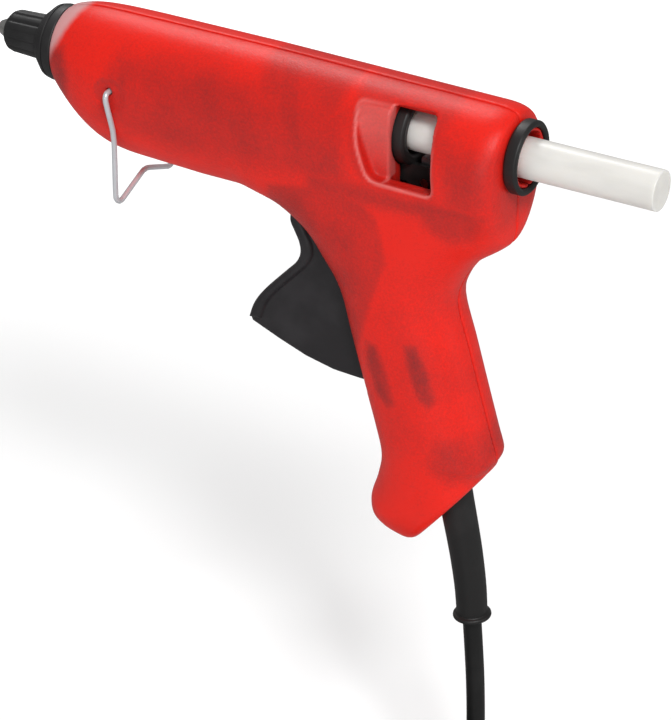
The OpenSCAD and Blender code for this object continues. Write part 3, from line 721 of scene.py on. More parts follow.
def catmull(knots: Array, steps: int) -> Array:
    """Smooth curve through knots: in each span the cubic whose end slopes are half the neighbours' chord.

    Args:
        knots: points to pass through, (n, 2) or (n, 3).
        steps: points for each span.

    Returns:
        The curve's points, the last knot included.
    """
    padded = np.vstack([knots[:1], knots, knots[-1:]])
    a, b, c, d = padded[:-3], padded[1:-2], padded[2:-1], padded[3:]
    t = (np.arange(steps) / steps)[None, :, None]
    a, b, c, d = (p[:, None, :] for p in (a, b, c, d))
    spans = 0.5 * (2 * b + (c - a) * t + (2 * a - 5 * b + 4 * c - d) * t**2 + (3 * b - a - 3 * c + d) * t**3)
    return np.vstack([spans.reshape(-1, knots.shape[1]), knots[-1:]])


def tube(
    path: Array, radius: Array | float, sides: int, up: Sequence[float] = (0.0, 1.0, 0.0)
) -> tuple[Array, Array]:
    """Round tube: at each point of the path a circle stands square to it, its frame carried without twist.

    Args:
        path: centreline, (n, 3).
        radius: one radius, or one for each point.
        sides: points round each circle.
        up: direction that starts the frame.

    Returns:
        Points and faces, closed at both ends.
    """
    way = np.gradient(path, axis=0)
    way /= np.linalg.norm(way, axis=1, keepdims=True)
    side = np.empty_like(path)
    last = np.array(up)
    for i, w in enumerate(way):
        last = last - w * (last @ w)
        last /= np.linalg.norm(last)
        side[i] = last
    other = np.cross(way, side)
    angle = full_turn(sides)[None, :, None]
    reach = np.broadcast_to(np.asarray(radius, float), (len(path),))[:, None, None]
    spoke = np.cos(angle) * side[:, None, :] + np.sin(angle) * other[:, None, :]
    ring = path[:, None, :] + reach * spoke
    return capped(ring.reshape(-1, 3), grid_faces(len(path), sides), sides)


def swept(x: Array, reach: Array, angle: Array) -> tuple[Array, Array]:
    """Closed ring-shaped body: the points of around(), whose last ring joins the first.

    Args:
        x: place of each ring, anticlockwise round the section in the (x, r) plane.
        reach: r, (n, m).
        angle: a, (m,).

    Returns:
        Points and faces.
    """
    faces = grid_faces(len(x) + 1, len(angle)) % (len(x) * len(angle))
    return around(x, reach, angle), faces[:, ::-1]


def turned(profile: Array, sides: int) -> tuple[Array, Array]:
    """Body of revolution about the barrel's axis: a closed profile swept round X.

    Args:
        profile: (x, r) points, anticlockwise.
        sides: points round each circle.

    Returns:
        Points and faces.
    """
    x, r = profile.T
    return swept(x, np.repeat(r[:, None], sides, 1), full_turn(sides))


def rounded(corners: Array, radius: float, steps: int = 4) -> Array:
    """Closed outline whose corners are cut by quadratic arcs.

    Args:
        corners: the outline's corners, (n, 2).
        radius: how far from its corner each arc starts, at most 0.45 of the side.
        steps: spans in each arc.

    Returns:
        The outline's points.
    """
    before = np.roll(corners, 1, 0)
    after = np.roll(corners, -1, 0)
    back, ahead = before - corners, after - corners
    back_l = np.linalg.norm(back, axis=1, keepdims=True)
    ahead_l = np.linalg.norm(ahead, axis=1, keepdims=True)
    start = corners + back / back_l * np.minimum(radius, back_l * 0.45)
    end = corners + ahead / ahead_l * np.minimum(radius, ahead_l * 0.45)
    t = np.linspace(0, 1, steps + 1)[None, :, None]
    arc = (1 - t) ** 2 * start[:, None] + 2 * t * (1 - t) * corners[:, None] + t**2 * end[:, None]
    return arc.reshape(-1, 2)


# ---------------------------------------------------------------- solids as signed fields


def smooth_min(a: Array, b: Array, k: float) -> Array:
    """Smaller of two distances, with a fillet where they meet: with h = 0.5 + 0.5 (b - a) / k held from 0
    to 1, b + (a - b) h - k h (1 - h).

    Args:
        a: one distance.
        b: the other.
        k: width of the fillet.

    Returns:
        The joined distance.
    """
    h = np.clip(0.5 + 0.5 * (b - a) / k, 0, 1)
    return b + (a - b) * h - k * h * (1 - h)


def smooth_max(a: Array, b: Array, k: float) -> Array:
    """Larger of two distances, with a round about k wide where they meet."""
    return -smooth_min(-a, -b, k)


def outline_distance(corners: Array, x: Array, z: Array) -> Array:
    """Signed distance to a closed outline: the nearest side's distance, with the sign from how often a ray
    to the right crosses the outline.

    Args:
        corners: the outline, (n, 2).
        x: first coordinate of the points.
        z: second coordinate.

    Returns:
        The distance, negative inside.
    """
    best = np.full(np.broadcast(x, z).shape, np.inf)
    inside = np.zeros(best.shape, bool)
    for (ax, az), (bx, bz) in zip(corners, np.roll(corners, -1, 0)):
        dx, dz = bx - ax, bz - az
        t = np.clip(((x - ax) * dx + (z - az) * dz) / (dx * dx + dz * dz), 0, 1)
        best = np.minimum(best, np.hypot(x - ax - t * dx, z - az - t * dz))
        inside ^= ((az > z) != (bz > z)) & (x < dx * (z - az) / (dz or 1e-9) + ax)
    return np.where(inside, -best, best)


def span(a: Array, start: float, end: float) -> Array:
    """Distance to the stretch between two places on one axis: |a - middle| - half its length."""
    return np.abs(a - (start + end) / 2) - abs(end - start) / 2


class Lattice:
    """Sample points of a box, on three axes in millimetres in the gun's frame."""

    def __init__(self, x: Array, y: Array, z: Array) -> None:
        """Keeps the axes, shaped so that they broadcast against each other.

        Args:
            x: places along the barrel.
            y: places across it.
            z: heights.
        """
        self.axes = (x, y, z)
        self.x, self.y, self.z = x[:, None, None], y[None, :, None], z[None, None, :]

    @classmethod
    def box(cls, low: Sequence[float], high: Sequence[float], step: float) -> "Lattice":
        """Evenly spaced points with a margin of two steps round the box."""
        return cls(*(np.arange(a - 2 * step, b + 3 * step, step) for a, b in zip(low, high)))

    def even(self, value: Array) -> Array:
        """Turns any field with a zero surface into a distance near it, by dividing by its slope."""
        slope = np.sqrt(sum(s * s for s in np.gradient(value, *self.axes)))
        return value / np.maximum(slope, 1e-3)

    def rod_y(self, at: Sequence[float], radius: float, start: float, end: float) -> Array:
        """Distance to a round bar along Y: the larger of those to its round and to its ends.

        Args:
            at: x and z of its axis.
            radius: its radius.
            start: y of one end.
            end: y of the other.

        Returns:
            The distance.
        """
        across = np.hypot(self.x - at[0], self.z - at[1]) - radius
        return np.maximum(across, span(self.y, start, end))

    def rod_x(self, start: float, end: float, radius: float, z: float = 0.0) -> Array:
        """Distance to a round bar along X, in the same way.

        Args:
            start: x of one end.
            end: x of the other.
            radius: its radius.
            z: height of its axis.

        Returns:
            The distance.
        """
        across = np.hypot(self.y, self.z - z) - radius
        return np.maximum(across, span(self.x, start, end))

    def block(self, low: Sequence[float], high: Sequence[float]) -> Array:
        """Distance to a block: the largest of those to its three pairs of faces."""
        x, y, z = (span(a, p, q) for a, p, q in zip((self.x, self.y, self.z), low, high))
        return np.maximum(np.maximum(x, y), z)

    def plate_y(self, corners: Array, start: float, end: float) -> Array:
        """Distance to a plate with an outline in the XZ plane."""
        return np.maximum(outline_distance(corners, self.x, self.z), span(self.y, start, end))

    def skin(self, value: Array) -> tuple[Array, Array]:
        """Net over the zero surface: one point in each cell that the surface crosses, at the mean of the
        crossings on the cell's edges, drawn onto the surface along the slope, and a face across each
        crossed edge.

        Args:
            value: signed field, negative inside.

        Returns:
            Points and four-sided faces.
        """
        cells = tuple(n - 1 for n in value.shape)
        total, count = np.zeros((*cells, 3)), np.zeros(cells)
        crossings = []
        for axis in range(3):
            first, second = np.moveaxis(value, axis, 0)[:-1], np.moveaxis(value, axis, 0)[1:]
            crossed = (first < 0) != (second < 0)
            share = np.where(crossed, first / np.where(crossed, first - second, 1), 0)
            crossings.append((crossed, first < 0))
            others = [k for k in range(3) if k != axis]
            for s, t in np.ndindex(2, 2):
                pick = (slice(None), slice(s, crossed.shape[1] - 1 + s), slice(t, crossed.shape[2] - 1 + t))
                hit = np.moveaxis(crossed[pick], 0, axis)
                count += hit
                total[..., axis] += np.moveaxis(share[pick], 0, axis)
                total[..., others[0]] += hit * s
                total[..., others[1]] += hit * t
        used = count > 0
        number = np.full(cells, -1)
        number[used] = np.arange(used.sum())
        points = np.argwhere(used) + total[used] / count[used][:, None]
        faces = []
        for axis, (crossed, inside) in enumerate(crossings):
            i, j, k = np.nonzero(crossed[:, 1:-1, 1:-1])
            out = inside[:, 1:-1, 1:-1][i, j, k] ^ (axis == 1)
            ids = np.moveaxis(number, axis, 0)
            quad = np.stack([ids[i, j, k], ids[i, j + 1, k], ids[i, j + 1, k + 1], ids[i, j, k + 1]], -1)
            faces.append(np.where(out[:, None], quad, quad[:, ::-1]))
        points = self._drawn(value, points)
        place = [np.interp(points[:, k], np.arange(len(a)), a) for k, a in enumerate(self.axes)]
        return np.stack(place, -1), np.vstack(faces)

    @staticmethod
    def _drawn(value: Array, points: Array) -> Array:
        """Moves points twice along the slope by the field's value over it, by at most half a cell.

        Args:
            value: the field.
            points: places counted in cells.

        Returns:
            The moved points.
        """
        slopes = np.stack(np.gradient(value), -1)
        for _ in range(2):
            base = np.clip(np.floor(points).astype(int), 0, np.array(value.shape) - 2)
            f = points - base
            here, lean = np.zeros(len(points)), np.zeros((len(points), 3))
            for corner in np.ndindex(2, 2, 2):
                weight = np.prod(np.where(np.array(corner), f, 1 - f), axis=1)
                cell = tuple((base + corner).T)
                here += weight * value[cell]
                lean += weight[:, None] * slopes[cell]
            move = lean * (here / np.maximum((lean**2).sum(1), 1e-6))[:, None]
            size = np.linalg.norm(move, axis=1, keepdims=True)
            points = points - move * np.minimum(1, 0.5 / np.maximum(size, 1e-9))
        return points


# ---------------------------------------------------------------- sub-assemblies


@dataclass
class Assembly:
    """A group of pieces that ride on CAD bodies."""

    def place(self, piece: bpy.types.Object, body: str, slot: str, *nodes: str) -> bpy.types.Object:
        """Puts a piece on its body, and logs and hides the CAD nodes that it stands for.

        Args:
            piece: the piece.
            body: the body that it rides.
            slot: its material slot; not used.
            nodes: the CAD nodes that it replaces.

        Returns:
            The piece.
        """
        LOG.info("%s rides %s in place of %s", piece.name, body, ", ".join(nodes))
        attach(piece, body)
        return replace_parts(piece, *nodes)

    def build(self) -> None:
        """Makes the pieces."""
        raise NotImplementedError


@dataclass
class Housing(Assembly):
    """The two moulded halves. All lengths are millimetres in the gun's frame.

    The section is a superellipse: rim is its radius at the front, ridge and belly are how far it reaches
    above and below the axis, and squareness is what its power has over an ellipse's. The ridge falls
    towards the tail and the belly sags behind the nose.
    """

    front: float = FRONT
    tail: float = -4.0
    half_w: float = 16.5
    ridge: float = 14.2
    belly: float = 26.6
    fall: float = 1.2
    sag: float = 1.1
    squareness: float = 0.12
    rim: float = 11.4
    nose: float = 27.0
    tail_round: float = 7.0
    waist: float = -4.6
    wall: float = 2.2
    bulk: float = -47.0
    window: float = -36.5
    inside_z: float = -1.6
    pivot: tuple[float, float] = PIVOT
    swing: float = 49.4
    slot_half: float = 8.2
    stand: tuple[float, float] = STAND_EYE
    screws: tuple[tuple[float, float, float], ...] = (
        (-98, -19, 9.6), (-79, -20.5, 8.5), (-13.5, -22, 8), (-17.5, -84, 9), (-35.5, -112, 11),
    )
    relief_hole: float = 5.2
    boss_r: float = 3.4
    head_r: float = 2.9
    grip_half: float = 14.6
    grip_swell: float = 0.6
    grip_deep: float = 17.5
    grip_power: float = 2.3
    butt_at: tuple[float, float] = (-9.24, -98.6)
    butt_way: tuple[float, float] = (0.7777, -0.6286)
    bowl: tuple[float, float] = (12.8, 5.1)
    seam: float = 0.1
    step: float = 0.7

    def _barrel(self, g: Lattice) -> Array:
        """Barrel: at each x a superellipse |y / w|^n + |(z - waist) / h|^n = 1, whose half width w, height h
        and power n ease from the round front rim to the full section, and draw in over the tail's edge.

        Args:
            g: the sample points.

        Returns:
            The distance to the barrel's outside.
        """
        u = np.clip((g.x - self.front) / self.nose, 0, 1)
        v = np.clip((g.x - self.tail) / self.tail_round + 1, 0, 1)
        tail = 1 - np.sqrt(1 - v**2)
        fall = self.fall * np.clip((g.x + 80) / 76, 0, 1)
        sag = self.sag * np.clip((g.x + 124) / 26, 0, 1)
        wide = self.rim + (self.half_w - self.rim) * (1 - (1 - u) ** 2.4) - 4.1 * tail
        up = self.rim + (self.ridge - self.rim) * (1 - (1 - u) ** 5) - fall - 2 * tail
        down = self.rim + (self.belly - self.rim) * (1 - (1 - u) ** 2.6) + sag - 4.5 * tail
        waist = self.waist * (1 - (1 - u) ** 2)
        power = 2 + self.squareness * u
        rise = g.z - waist
        high = np.where(rise > 0, up - waist, down + waist)
        section = (np.abs(g.y / wide) ** power + np.abs(rise / high) ** power) ** (1 / power) - 1
        return g.even(section * wide)

    def _grip(self, g: Lattice) -> Array:
        """Grip: a pillow over its side outline. With d the depth inside the outline, it is
        |y / w|^n + (1 - d / a)^n = 1, so that its edges are rounded like a superellipse a deep. The butt's
        slanted face is cut flat.

        Args:
            g: the sample points.

        Returns:
            The distance to the grip's outside.
        """
        front = catmull(np.array([
            [-92, -19], [-83, -26.5], [-73, -30.5], [-65.5, -35.5], [-60.6, -42], [-55.6, -50], [-52.2, -62],
            [-48.2, -76], [-44.1, -90], [-42.1, -99], [-43.3, -107], [-45.3, -114], [-44.1, -120],
            [-38.7, -124.2], [-30.7, -126.2],
        ]), 4)
        back = catmull(np.array([
            [-9, -98.6], [-7.7, -95], [-9.7, -88], [-13.2, -76], [-17.2, -62], [-20.9, -49], [-19.2, -41],
            [-14.4, -33.6], [-8, -28], [-5.2, -21], [-6.5, -12],
        ]), 4)
        beyond = np.array([[-20, -132], [4, -108]])
        crown = np.array([[-12, 0], [-86, 0]])
        outline = np.vstack([front, beyond, back, crown])
        depth = np.clip(-outline_distance(outline, g.x, g.z) / self.grip_deep, -1, 1)
        wide = self.grip_half + self.grip_swell * np.clip((g.z + 45) / 15, 0, 1)
        power = self.grip_power
        pillow = ((1 - depth) ** power + np.abs(g.y / wide) ** power) ** (1 / power) - 1
        (at_x, at_z), (way_x, way_z) = self.butt_at, self.butt_way
        butt = (g.x - at_x) * way_x + (g.z - at_z) * way_z
        return smooth_max(g.even(pillow * self.grip_half), butt, 3.0)

    def _inside(self, g: Lattice) -> Array:
        """Bulkhead, the block behind the scooped cheek, two ribs, entry tube, the bosses of the trigger's and
        the stand's pivots, the ledge under the window, and screw bosses.

        Args:
            g: the sample points.

        Returns:
            The distance to the nearest of them.
        """
        disc = self.half_w - 1.8
        parts = [
            g.rod_x(self.bulk, self.window, disc, self.inside_z),
            g.block((self.bulk, -self.half_w, -13.0), (self.window, -9.9, 10.0)),
            g.rod_x(self.front + 38.5, self.front + 40.5, disc, self.inside_z),
            g.rod_x(self.front + 44.8, self.front + 46.8, disc, self.inside_z),
            g.rod_x(self.tail - 9, self.tail, 10.4),
            g.rod_y(self.pivot, 4.4, -10.8, -6.5),
            g.rod_y(self.stand, 3.2, -15.5, -10.5),
            g.block((self.window, -self.half_w + 1, -11.4), (-21.5, -11, -9.9)),
            *(g.rod_y(s, self.boss_r, -s[2], 0) for s in self.screws),
        ]
        return np.minimum.reduce(np.broadcast_arrays(*parts))

    @staticmethod
    def _recess() -> Array:
        """Outline of the window's recess in the XZ plane.

        Returns:
            Its points.
        """
        return rounded(np.array([
            [-46.3, 10.3], [-45.4, 6], [-44, 0], [-41.4, -7.4], [-40, -9.2], [-38, -9.7], [-22.6, -9.9],
            [-21.6, -8.8], [-22.3, 2], [-23.4, 9.8], [-24.6, 10.7],
        ], float), 1.2)

    def _painted_highlights(self, p: Array) -> Array:
        """Painted highlights: strongest on the rim of the window's recess, where bells exp(-(d / w)^2) of the
        distances to its outline and to the outer skin meet, less on the edge of its opening, and a slight
        painted reflection on the scooped cheek between them.

        Args:
            p: the half's points.

        Returns:
            The mark of each point, from 0 to 1.
        """
        x, y, z = p.T
        d = outline_distance(self._recess(), x, z)
        rise, power = z - self.waist, 2 + self.squareness
        high = np.where(rise > 0, self.ridge - self.waist, self.belly + self.sag + self.waist)
        skin = -self.half_w * np.clip(1 - np.abs(rise / high) ** power, 0, 1) ** (1 / power)
        rim = np.exp(-((d / 0.5) ** 2)) * np.exp(-(((y - skin) / 0.6) ** 2))
        edge = np.exp(-(((x - self.window) / 0.4) ** 2)) * (d < 0.4)
        cheek = np.clip(-d / 0.8, 0, 1) * np.clip((self.window - x) / 0.8, 0, 1)
        fade = np.clip((z + 12) / 16, 0.25, 1)
        return np.maximum.reduce([0.9 * rim, 0.5 * edge, 0.34 * cheek * fade]) * (y < -8)

    def _window(self, g: Lattice) -> Array:
        """Opening on the feed ring: the recess outline, cut straight behind and scooped out in front by the
        bowl |x / a|^3 + |y / b|^3 = 1.

        Args:
            g: the sample points.

        Returns:
            The distance to the opening.
        """
        outline = g.plate_y(self._recess(), -self.half_w - 3, -7.5)
        straight = g.block((self.window, -self.half_w - 4, -13), (-14, -3, 13))
        long, deep = self.bowl
        sunk = np.clip((g.y + self.half_w + 0.6) / deep, 0, 9)
        bowl = np.abs((g.x - self.window - 3) / long) ** 3 + sunk**3
        scoop = (bowl ** (1 / 3) - 1) * 7
        return smooth_max(outline, np.minimum(straight, scoop), 0.6)

    def _slot(self, g: Lattice) -> Array:
        """Slot that the trigger moves in: its outline within the circle that the trigger swings in.

        Args:
            g: the sample points.

        Returns:
            The distance to the slot.
        """
        corners = np.array([
            [-73.5, -33], [-72, -24], [-60, -24], [-52, -38], [-42, -60], [-38, -80], [-44, -88], [-110, -88],
            [-110, -33],
        ], float)
        swing = np.hypot(g.x - self.pivot[0], g.z - self.pivot[1]) - self.swing
        return np.maximum(g.plate_y(corners, -self.slot_half, self.slot_half), swing)

    def half(self, pockets: bool) -> tuple[Array, Array]:
        """The left-hand half, or the half with screw pockets before it is mirrored: a shell as thick as
        wall inside the skin where barrel and grip meet, with its inner parts, less its openings, cut off
        at the seam.

        Args:
            pockets: whether the screws enter from this side.

        Returns:
            Points and faces.
        """
        y = np.concatenate([np.arange(-self.half_w - 2.1, -1.6, self.step), np.arange(-1.6, 1.0, 0.3)])
        g = Lattice(np.arange(-151, 2, self.step), y, np.arange(-128.8, 17.5, self.step))
        skin = smooth_min(self._barrel(g), self._grip(g), 3.0)
        skin = smooth_max(skin, self.front - g.x, 1.2)
        skin = smooth_max(skin, g.x - self.tail, 1.4)
        # Shallow round recess about the stand's eye
        recess = np.hypot(g.x - self.stand[0] - 0.4, g.z - self.stand[1] + 0.8) - 4.7
        skin = smooth_max(skin, -smooth_max(recess, -(skin + 0.5), 0.8), 0.5)
        # Shell, inner parts, and the solid ends that hold the entry ring and the collar
        solid = np.maximum(skin, -(skin + self.wall))
        solid = np.minimum(solid, np.maximum(self._inside(g), skin + 0.3))
        solid = np.minimum(solid, g.rod_x(self.tail - 1, -0.7, 8.2))
        solid = np.minimum(solid, g.rod_x(self.front - 2.6, self.front + 1, 9.0))
        # Bores of the entry tube, bulkhead, front and ribs, gaps under the ribs and bulkhead, pivot holes
        cuts = [
            g.rod_x(self.tail - 12, 18, 7.3),
            g.rod_x(self.bulk - 1, self.window + 1, 9.9),
            g.rod_x(self.front - 5, self.front + 4, 7.6),
            g.rod_x(self.front + 38, self.front + 47, 10.6),
            g.block((self.front + 36, -8, -22), (self.front + 48, 8, -8)),
            g.block((self.bulk - 1, -5, -22), (self.window + 1, 5, -8)),
            g.rod_y(self.pivot, PIVOT_BORE, -10.3, 1),
            g.rod_y(self.stand, 1.1, -self.half_w - 2, -9.5),
            self._relief(g),
        ]
        solid = smooth_max(solid, -np.minimum.reduce(np.broadcast_arrays(*cuts)), 0.3)
        solid = smooth_max(solid, -self._window(g), 0.4)
        solid = smooth_max(solid, -self._slot(g), 1.2)
        if pockets:
            for s in self.screws:
                solid = smooth_max(solid, -g.rod_y(s, self.head_r, -24, 3 - s[2]), 0.4)
        return g.skin(smooth_max(solid, g.y + self.seam, 0.8))

    def _relief(self, g: Lattice) -> Array:
        """Hole that the strain relief passes through: a round bar along its slanted axis.

        Args:
            g: the sample points.

        Returns:
            The distance to the hole.
        """
        dx, dz = g.x - RELIEF_AT[0], g.z - RELIEF_AT[1]
        across = dz * RELIEF_WAY[0] - dx * RELIEF_WAY[1]
        along = dx * RELIEF_WAY[0] + dz * RELIEF_WAY[1]
        return np.maximum(np.hypot(across, g.y) - self.relief_hole, np.abs(along) - 30)

    def build(self) -> None:
        """Makes the left half, and the right half as its mirror image with screw pockets."""
        for name, pockets, flip, node in (
            ("housing_left", False, 1, "left_housing"), ("housing_right", True, -1, "right_housing"),
        ):
            points, faces = self.half(pockets)
            # Painted shade at each point, from the shade outlines, is kept as the inner attribute
            veil = np.maximum.reduce([shade.at(points[:, 0], points[:, 2]) for shade in PAINTED_SHADES])
            # The pale attribute holds painted highlights and a painted reflection
            marks = {"inner": veil, "pale": self._painted_highlights(points)}
            piece = put_mesh(name, points * [1, flip, 1], faces[:, ::flip], HOUSING_RED, marks)
            self.place(piece, "housing", "housing_red", node)


@dataclass
class Nozzle(Assembly):
    """Front collar, fluted sleeve and outlet tip, all turned about the barrel's axis."""

    front: float = FRONT
    collar_r: float = 11.0
    sleeve_r: float = 6.1
    sleeve_l: float = 19.9
    sleeve_taper: float = 0.7
    sleeve_nose: tuple[float, float] = (2.7, 2.2)
    reach: float = 23.8
    flutes: int = 14
    flute: float = 0.4
    outlet_r: float = 0.8

    def collar(self) -> tuple[Array, Array]:
        """Collar: a broad ring with a fine groove, then a stepped flare that draws in to the sleeve.

        Returns:
            Points and faces.
        """
        r = self.collar_r
        profile = np.array([
            [0, 9.0], [0, r - 0.3], [-0.3, r], [-2.7, r], [-3.0, r - 0.7], [-3.3, r - 0.15], [-4.3, r - 0.4],
            [-4.6, r - 1.1], [-5.4, r - 1.4], [-5.7, r - 2.1], [-6.6, r - 2.5], [-7.0, r - 3.1],
            [-7.0, self.sleeve_r + 0.9], [-2.6, self.sleeve_r + 0.9], [-2.6, 9.0],
        ])
        return turned(rounded(profile + [self.front, 0], 0.16, 3), 128)

    def sleeve(self) -> tuple[Array, Array]:
        """Sleeve: r(x, a) = R(x) - flute * w(x) * (0.5 + 0.5 cos(n a))^3, where R narrows forward and rounds
        in towards the tip over a quarter of an ellipse, and w fades the flutes out at both ends.

        Returns:
            Points and faces.
        """
        bend = np.radians(np.linspace(0, 78, 14))
        long, deep = self.sleeve_nose
        nose_x = -self.sleeve_l + long - long * np.sin(bend)
        nose_r = self.sleeve_r - deep + deep * np.cos(bend)
        back = np.linspace(-1, nose_x[0], 40)[:-1]
        x = np.concatenate([[-1], back, nose_x, [-self.sleeve_l, -self.sleeve_l + 1]])
        cone = self.sleeve_r + self.sleeve_taper * (back - back[-1]) / (back[0] - back[-1])
        r = np.concatenate([[4.6], cone, nose_r, [4.55, 4.5]])
        fade = np.clip((-6.5 - x) / 1.6, 0, 1) * np.clip((x + self.sleeve_l - 0.3) / 2.4, 0, 1)
        fade[-2:] = 0
        angle = full_turn(16 * self.flutes)
        groove = (0.5 + 0.5 * np.cos(self.flutes * angle)) ** 3
        return swept(x + self.front, r[:, None] - self.flute * fade[:, None] * groove, angle)

    def tip(self) -> tuple[Array, Array]:
        """Tip: a turned cone with a small flat land round the outlet.

        Returns:
            Points and faces.
        """
        end, shoulder = -self.reach, -self.sleeve_l
        profile = np.array([
            [6, 3.2], [0, 3.2], [0, 4.5], [shoulder + 0.4, 4.5], [shoulder - 0.6, 3.4], [end + 1.1, 2.3],
            [end + 0.3, 1.95], [end, 1.6], [end, self.outlet_r], [-14, self.outlet_r], [-12.6, 2], [6, 2],
        ])
        return turned(rounded(profile + [self.front, 0], 0.25, 3), 96)

    def build(self) -> None:
        """Makes the three turned pieces."""
        for name, made, finish, slot, node in (
            ("collar", self.collar(), NOZZLE_BLACK, "black_plastic", "front_collar"),
            ("sleeve", self.sleeve(), NOZZLE_BLACK, "black_rubber", "nozzle_sleeve"),
            ("tip", self.tip(), NICKEL_TIP, "brass_tip", "nozzle_tip"),
        ):
            self.place(put_mesh(name, *made, finish), "housing", slot, node)


@dataclass
class Feed(Assembly):
    """Entry ring, sliding feed ring and glue stick."""

    entry_r: float = 8.0
    feed_r: float = 9.6
    stick_r: float = 5.6
    stick_out: float = 37.0
    stick_l: float = 145.0
    stick_rim: float = 0.3

    @staticmethod
    def ring(x: float, long: float, r_in: float, r_out: float, bevel: float) -> tuple[Array, Array]:
        """Bevelled ring about the barrel's axis.

        Args:
            x: its front.
            long: its length.
            r_in: radius of its hole.
            r_out: its outer radius.
            bevel: width of the bevels.

        Returns:
            Points and faces.
        """
        b = bevel
        profile = np.array([
            [0, r_in + b], [b, r_in], [long - b, r_in], [long, r_in + b],
            [long, r_out - b], [long - b, r_out], [b, r_out], [0, r_out - b],
        ])
        return turned(rounded(profile + [x, 0], 0.25, 3), 112)

    def stick(self) -> tuple[Array, Array]:
        """Stick: r(x, a) = (R - inset(x)) (0.998 + 0.0012 sin(2 a + x / 9) + 0.001 sin(x / 2.3)), where the
        inset rounds off the cut edges and then draws in over the end faces.

        Returns:
            Points and faces.
        """
        start, end, rim = self.stick_out - self.stick_l, self.stick_out, self.stick_rim
        turn = np.radians(np.linspace(0, 90, 6))
        face = np.array([1.6, 0.9, 0.6])
        flat = np.zeros_like(face)
        body = np.linspace(start + 1, end - 1, 120)
        edge_x, edge_in = rim * (1 - np.cos(turn)), rim * (1 - np.sin(turn))
        x = np.concatenate([start + flat, start + edge_x, body, end - edge_x[::-1], end + flat])
        inset = np.concatenate([face, edge_in, 0 * body, edge_in[::-1], face[::-1]])
        angle = full_turn(72)
        ripple = 0.0012 * np.sin(2 * angle + x[:, None] / 9) + 0.001 * np.sin(x[:, None] / 2.3)
        reach = (self.stick_r - inset)[:, None] * (0.998 + ripple)
        return capped(around(x, reach, angle), grid_faces(len(x), len(angle)), len(angle))

    def build(self) -> None:
        """Makes the two rings and the stick."""
        entry = self.ring(-4, 4, self.entry_r + 0.3, self.entry_r + 2.2, 0.6)
        self.place(put_mesh("entry_ring", *entry, RING_BLACK), "housing", "black_plastic", "rear_ring")
        feed = self.ring(-37.8, 4.2, self.stick_r + 1, self.feed_r, 0.7)
        self.place(put_mesh("gripping_ring", *feed, RING_BLACK), "carriage", "black_plastic", "feed_ring")
        self.place(put_mesh("stick", *self.stick(), GLUE), "stick", "glue", "glue_stick")


@dataclass
class Trigger(Assembly):
    """The trigger: a hollow-backed web with a wider finger pad and a forked upper arm."""

    pivot: tuple[float, float] = PIVOT
    arm_l: float = 16.5
    web: float = 6.2
    pad: float = 7.7
    inner: float = 4.2
    fork: float = 3.8
    spring_pin: tuple[float, float] = (-31.0, -42.0)
    step: float = 0.5

    def build(self) -> None:
        """Makes the trigger as one moulding: web, forked stem, finger pad, and the lug and pin that take the
        return spring, joined by smooth minima and rounded by smooth maxima."""
        g = Lattice.box((-85, -10.5, -79), (-28, 8.5, -10.5), self.step)
        finger = catmull(np.array([
            [-69.8, -29.6], [-70.3, -33], [-69, -36], [-67.4, -39.5], [-67.2, -43], [-69, -46.6], [-73, -51],
            [-79, -57.6], [-82.3, -62.4], [-84, -67.4],
        ]), 4)
        heel = np.array([
            [-83.6, -69], [-74.7, -72.6], [-66, -75.7], [-57, -77.6], [-47.5, -78], [-43.8, -77],
            [-43.4, -66], [-45, -56], [-48, -46], [-52.4, -33], [-55, -24], [-63, -24.4],
        ])
        side = np.vstack([finger, heel])
        arm = np.array([self.pivot[0], self.pivot[1] + self.arm_l])
        web = smooth_max(outline_distance(side, g.x, g.z), np.abs(g.y) - self.web, 1.6)
        stem = np.minimum.reduce([
            g.block((arm[0] - 3.1, -9, self.pivot[1]), (arm[0] + 3.1, 9, arm[1])),
            g.rod_y(self.pivot, 5.4, -9, 9),
            g.rod_y(arm, 3.1, -9, 9),
        ])
        stem = smooth_max(stem, np.abs(g.y) - self.web, 0.6)
        rim = np.vstack([finger, (finger + [4.3, 0.5])[:0:-1]])
        pad = smooth_max(outline_distance(rim, g.x, g.z), np.abs(g.y) - self.pad, 2.0)
        lug = np.array([[-57, -33], [-30, -39.6], [-28.8, -42], [-30, -44.2], [-54, -48]], float)
        solid = smooth_min(np.minimum(web, stem), pad, 0.4)
        solid = np.minimum(solid, g.plate_y(lug, -self.web, -self.inner))
        solid = np.minimum(solid, g.rod_y(self.spring_pin, 1.2, -10.25, -5.2))
        hollow = np.array([
            [-64.5, -40], [-62, -47], [-72, -58], [-78.5, -67], [-66, -72.6], [-52, -75.6], [-30, -76],
            [-30, -30], [-51.5, -30], [-55, -37],
        ])
        solid = smooth_max(solid, -g.plate_y(hollow, -self.inner, self.inner), 0.6)
        fork = g.block((arm[0] - 8, -self.fork, arm[1] - 8.6), (arm[0] + 8, self.fork, arm[1] + 11.4))
        solid = smooth_max(solid, -fork, 0.3)
        solid = np.maximum(solid, -g.rod_y(self.pivot, PIVOT_BORE, -12, 12))
        solid = np.maximum(solid, -g.rod_y(arm, 1.3, -12, 12))
        piece = put_mesh("trigger_moulding", *g.skin(solid), TRIGGER_BLACK)
        self.place(piece, "trigger", "black_plastic", "trigger")


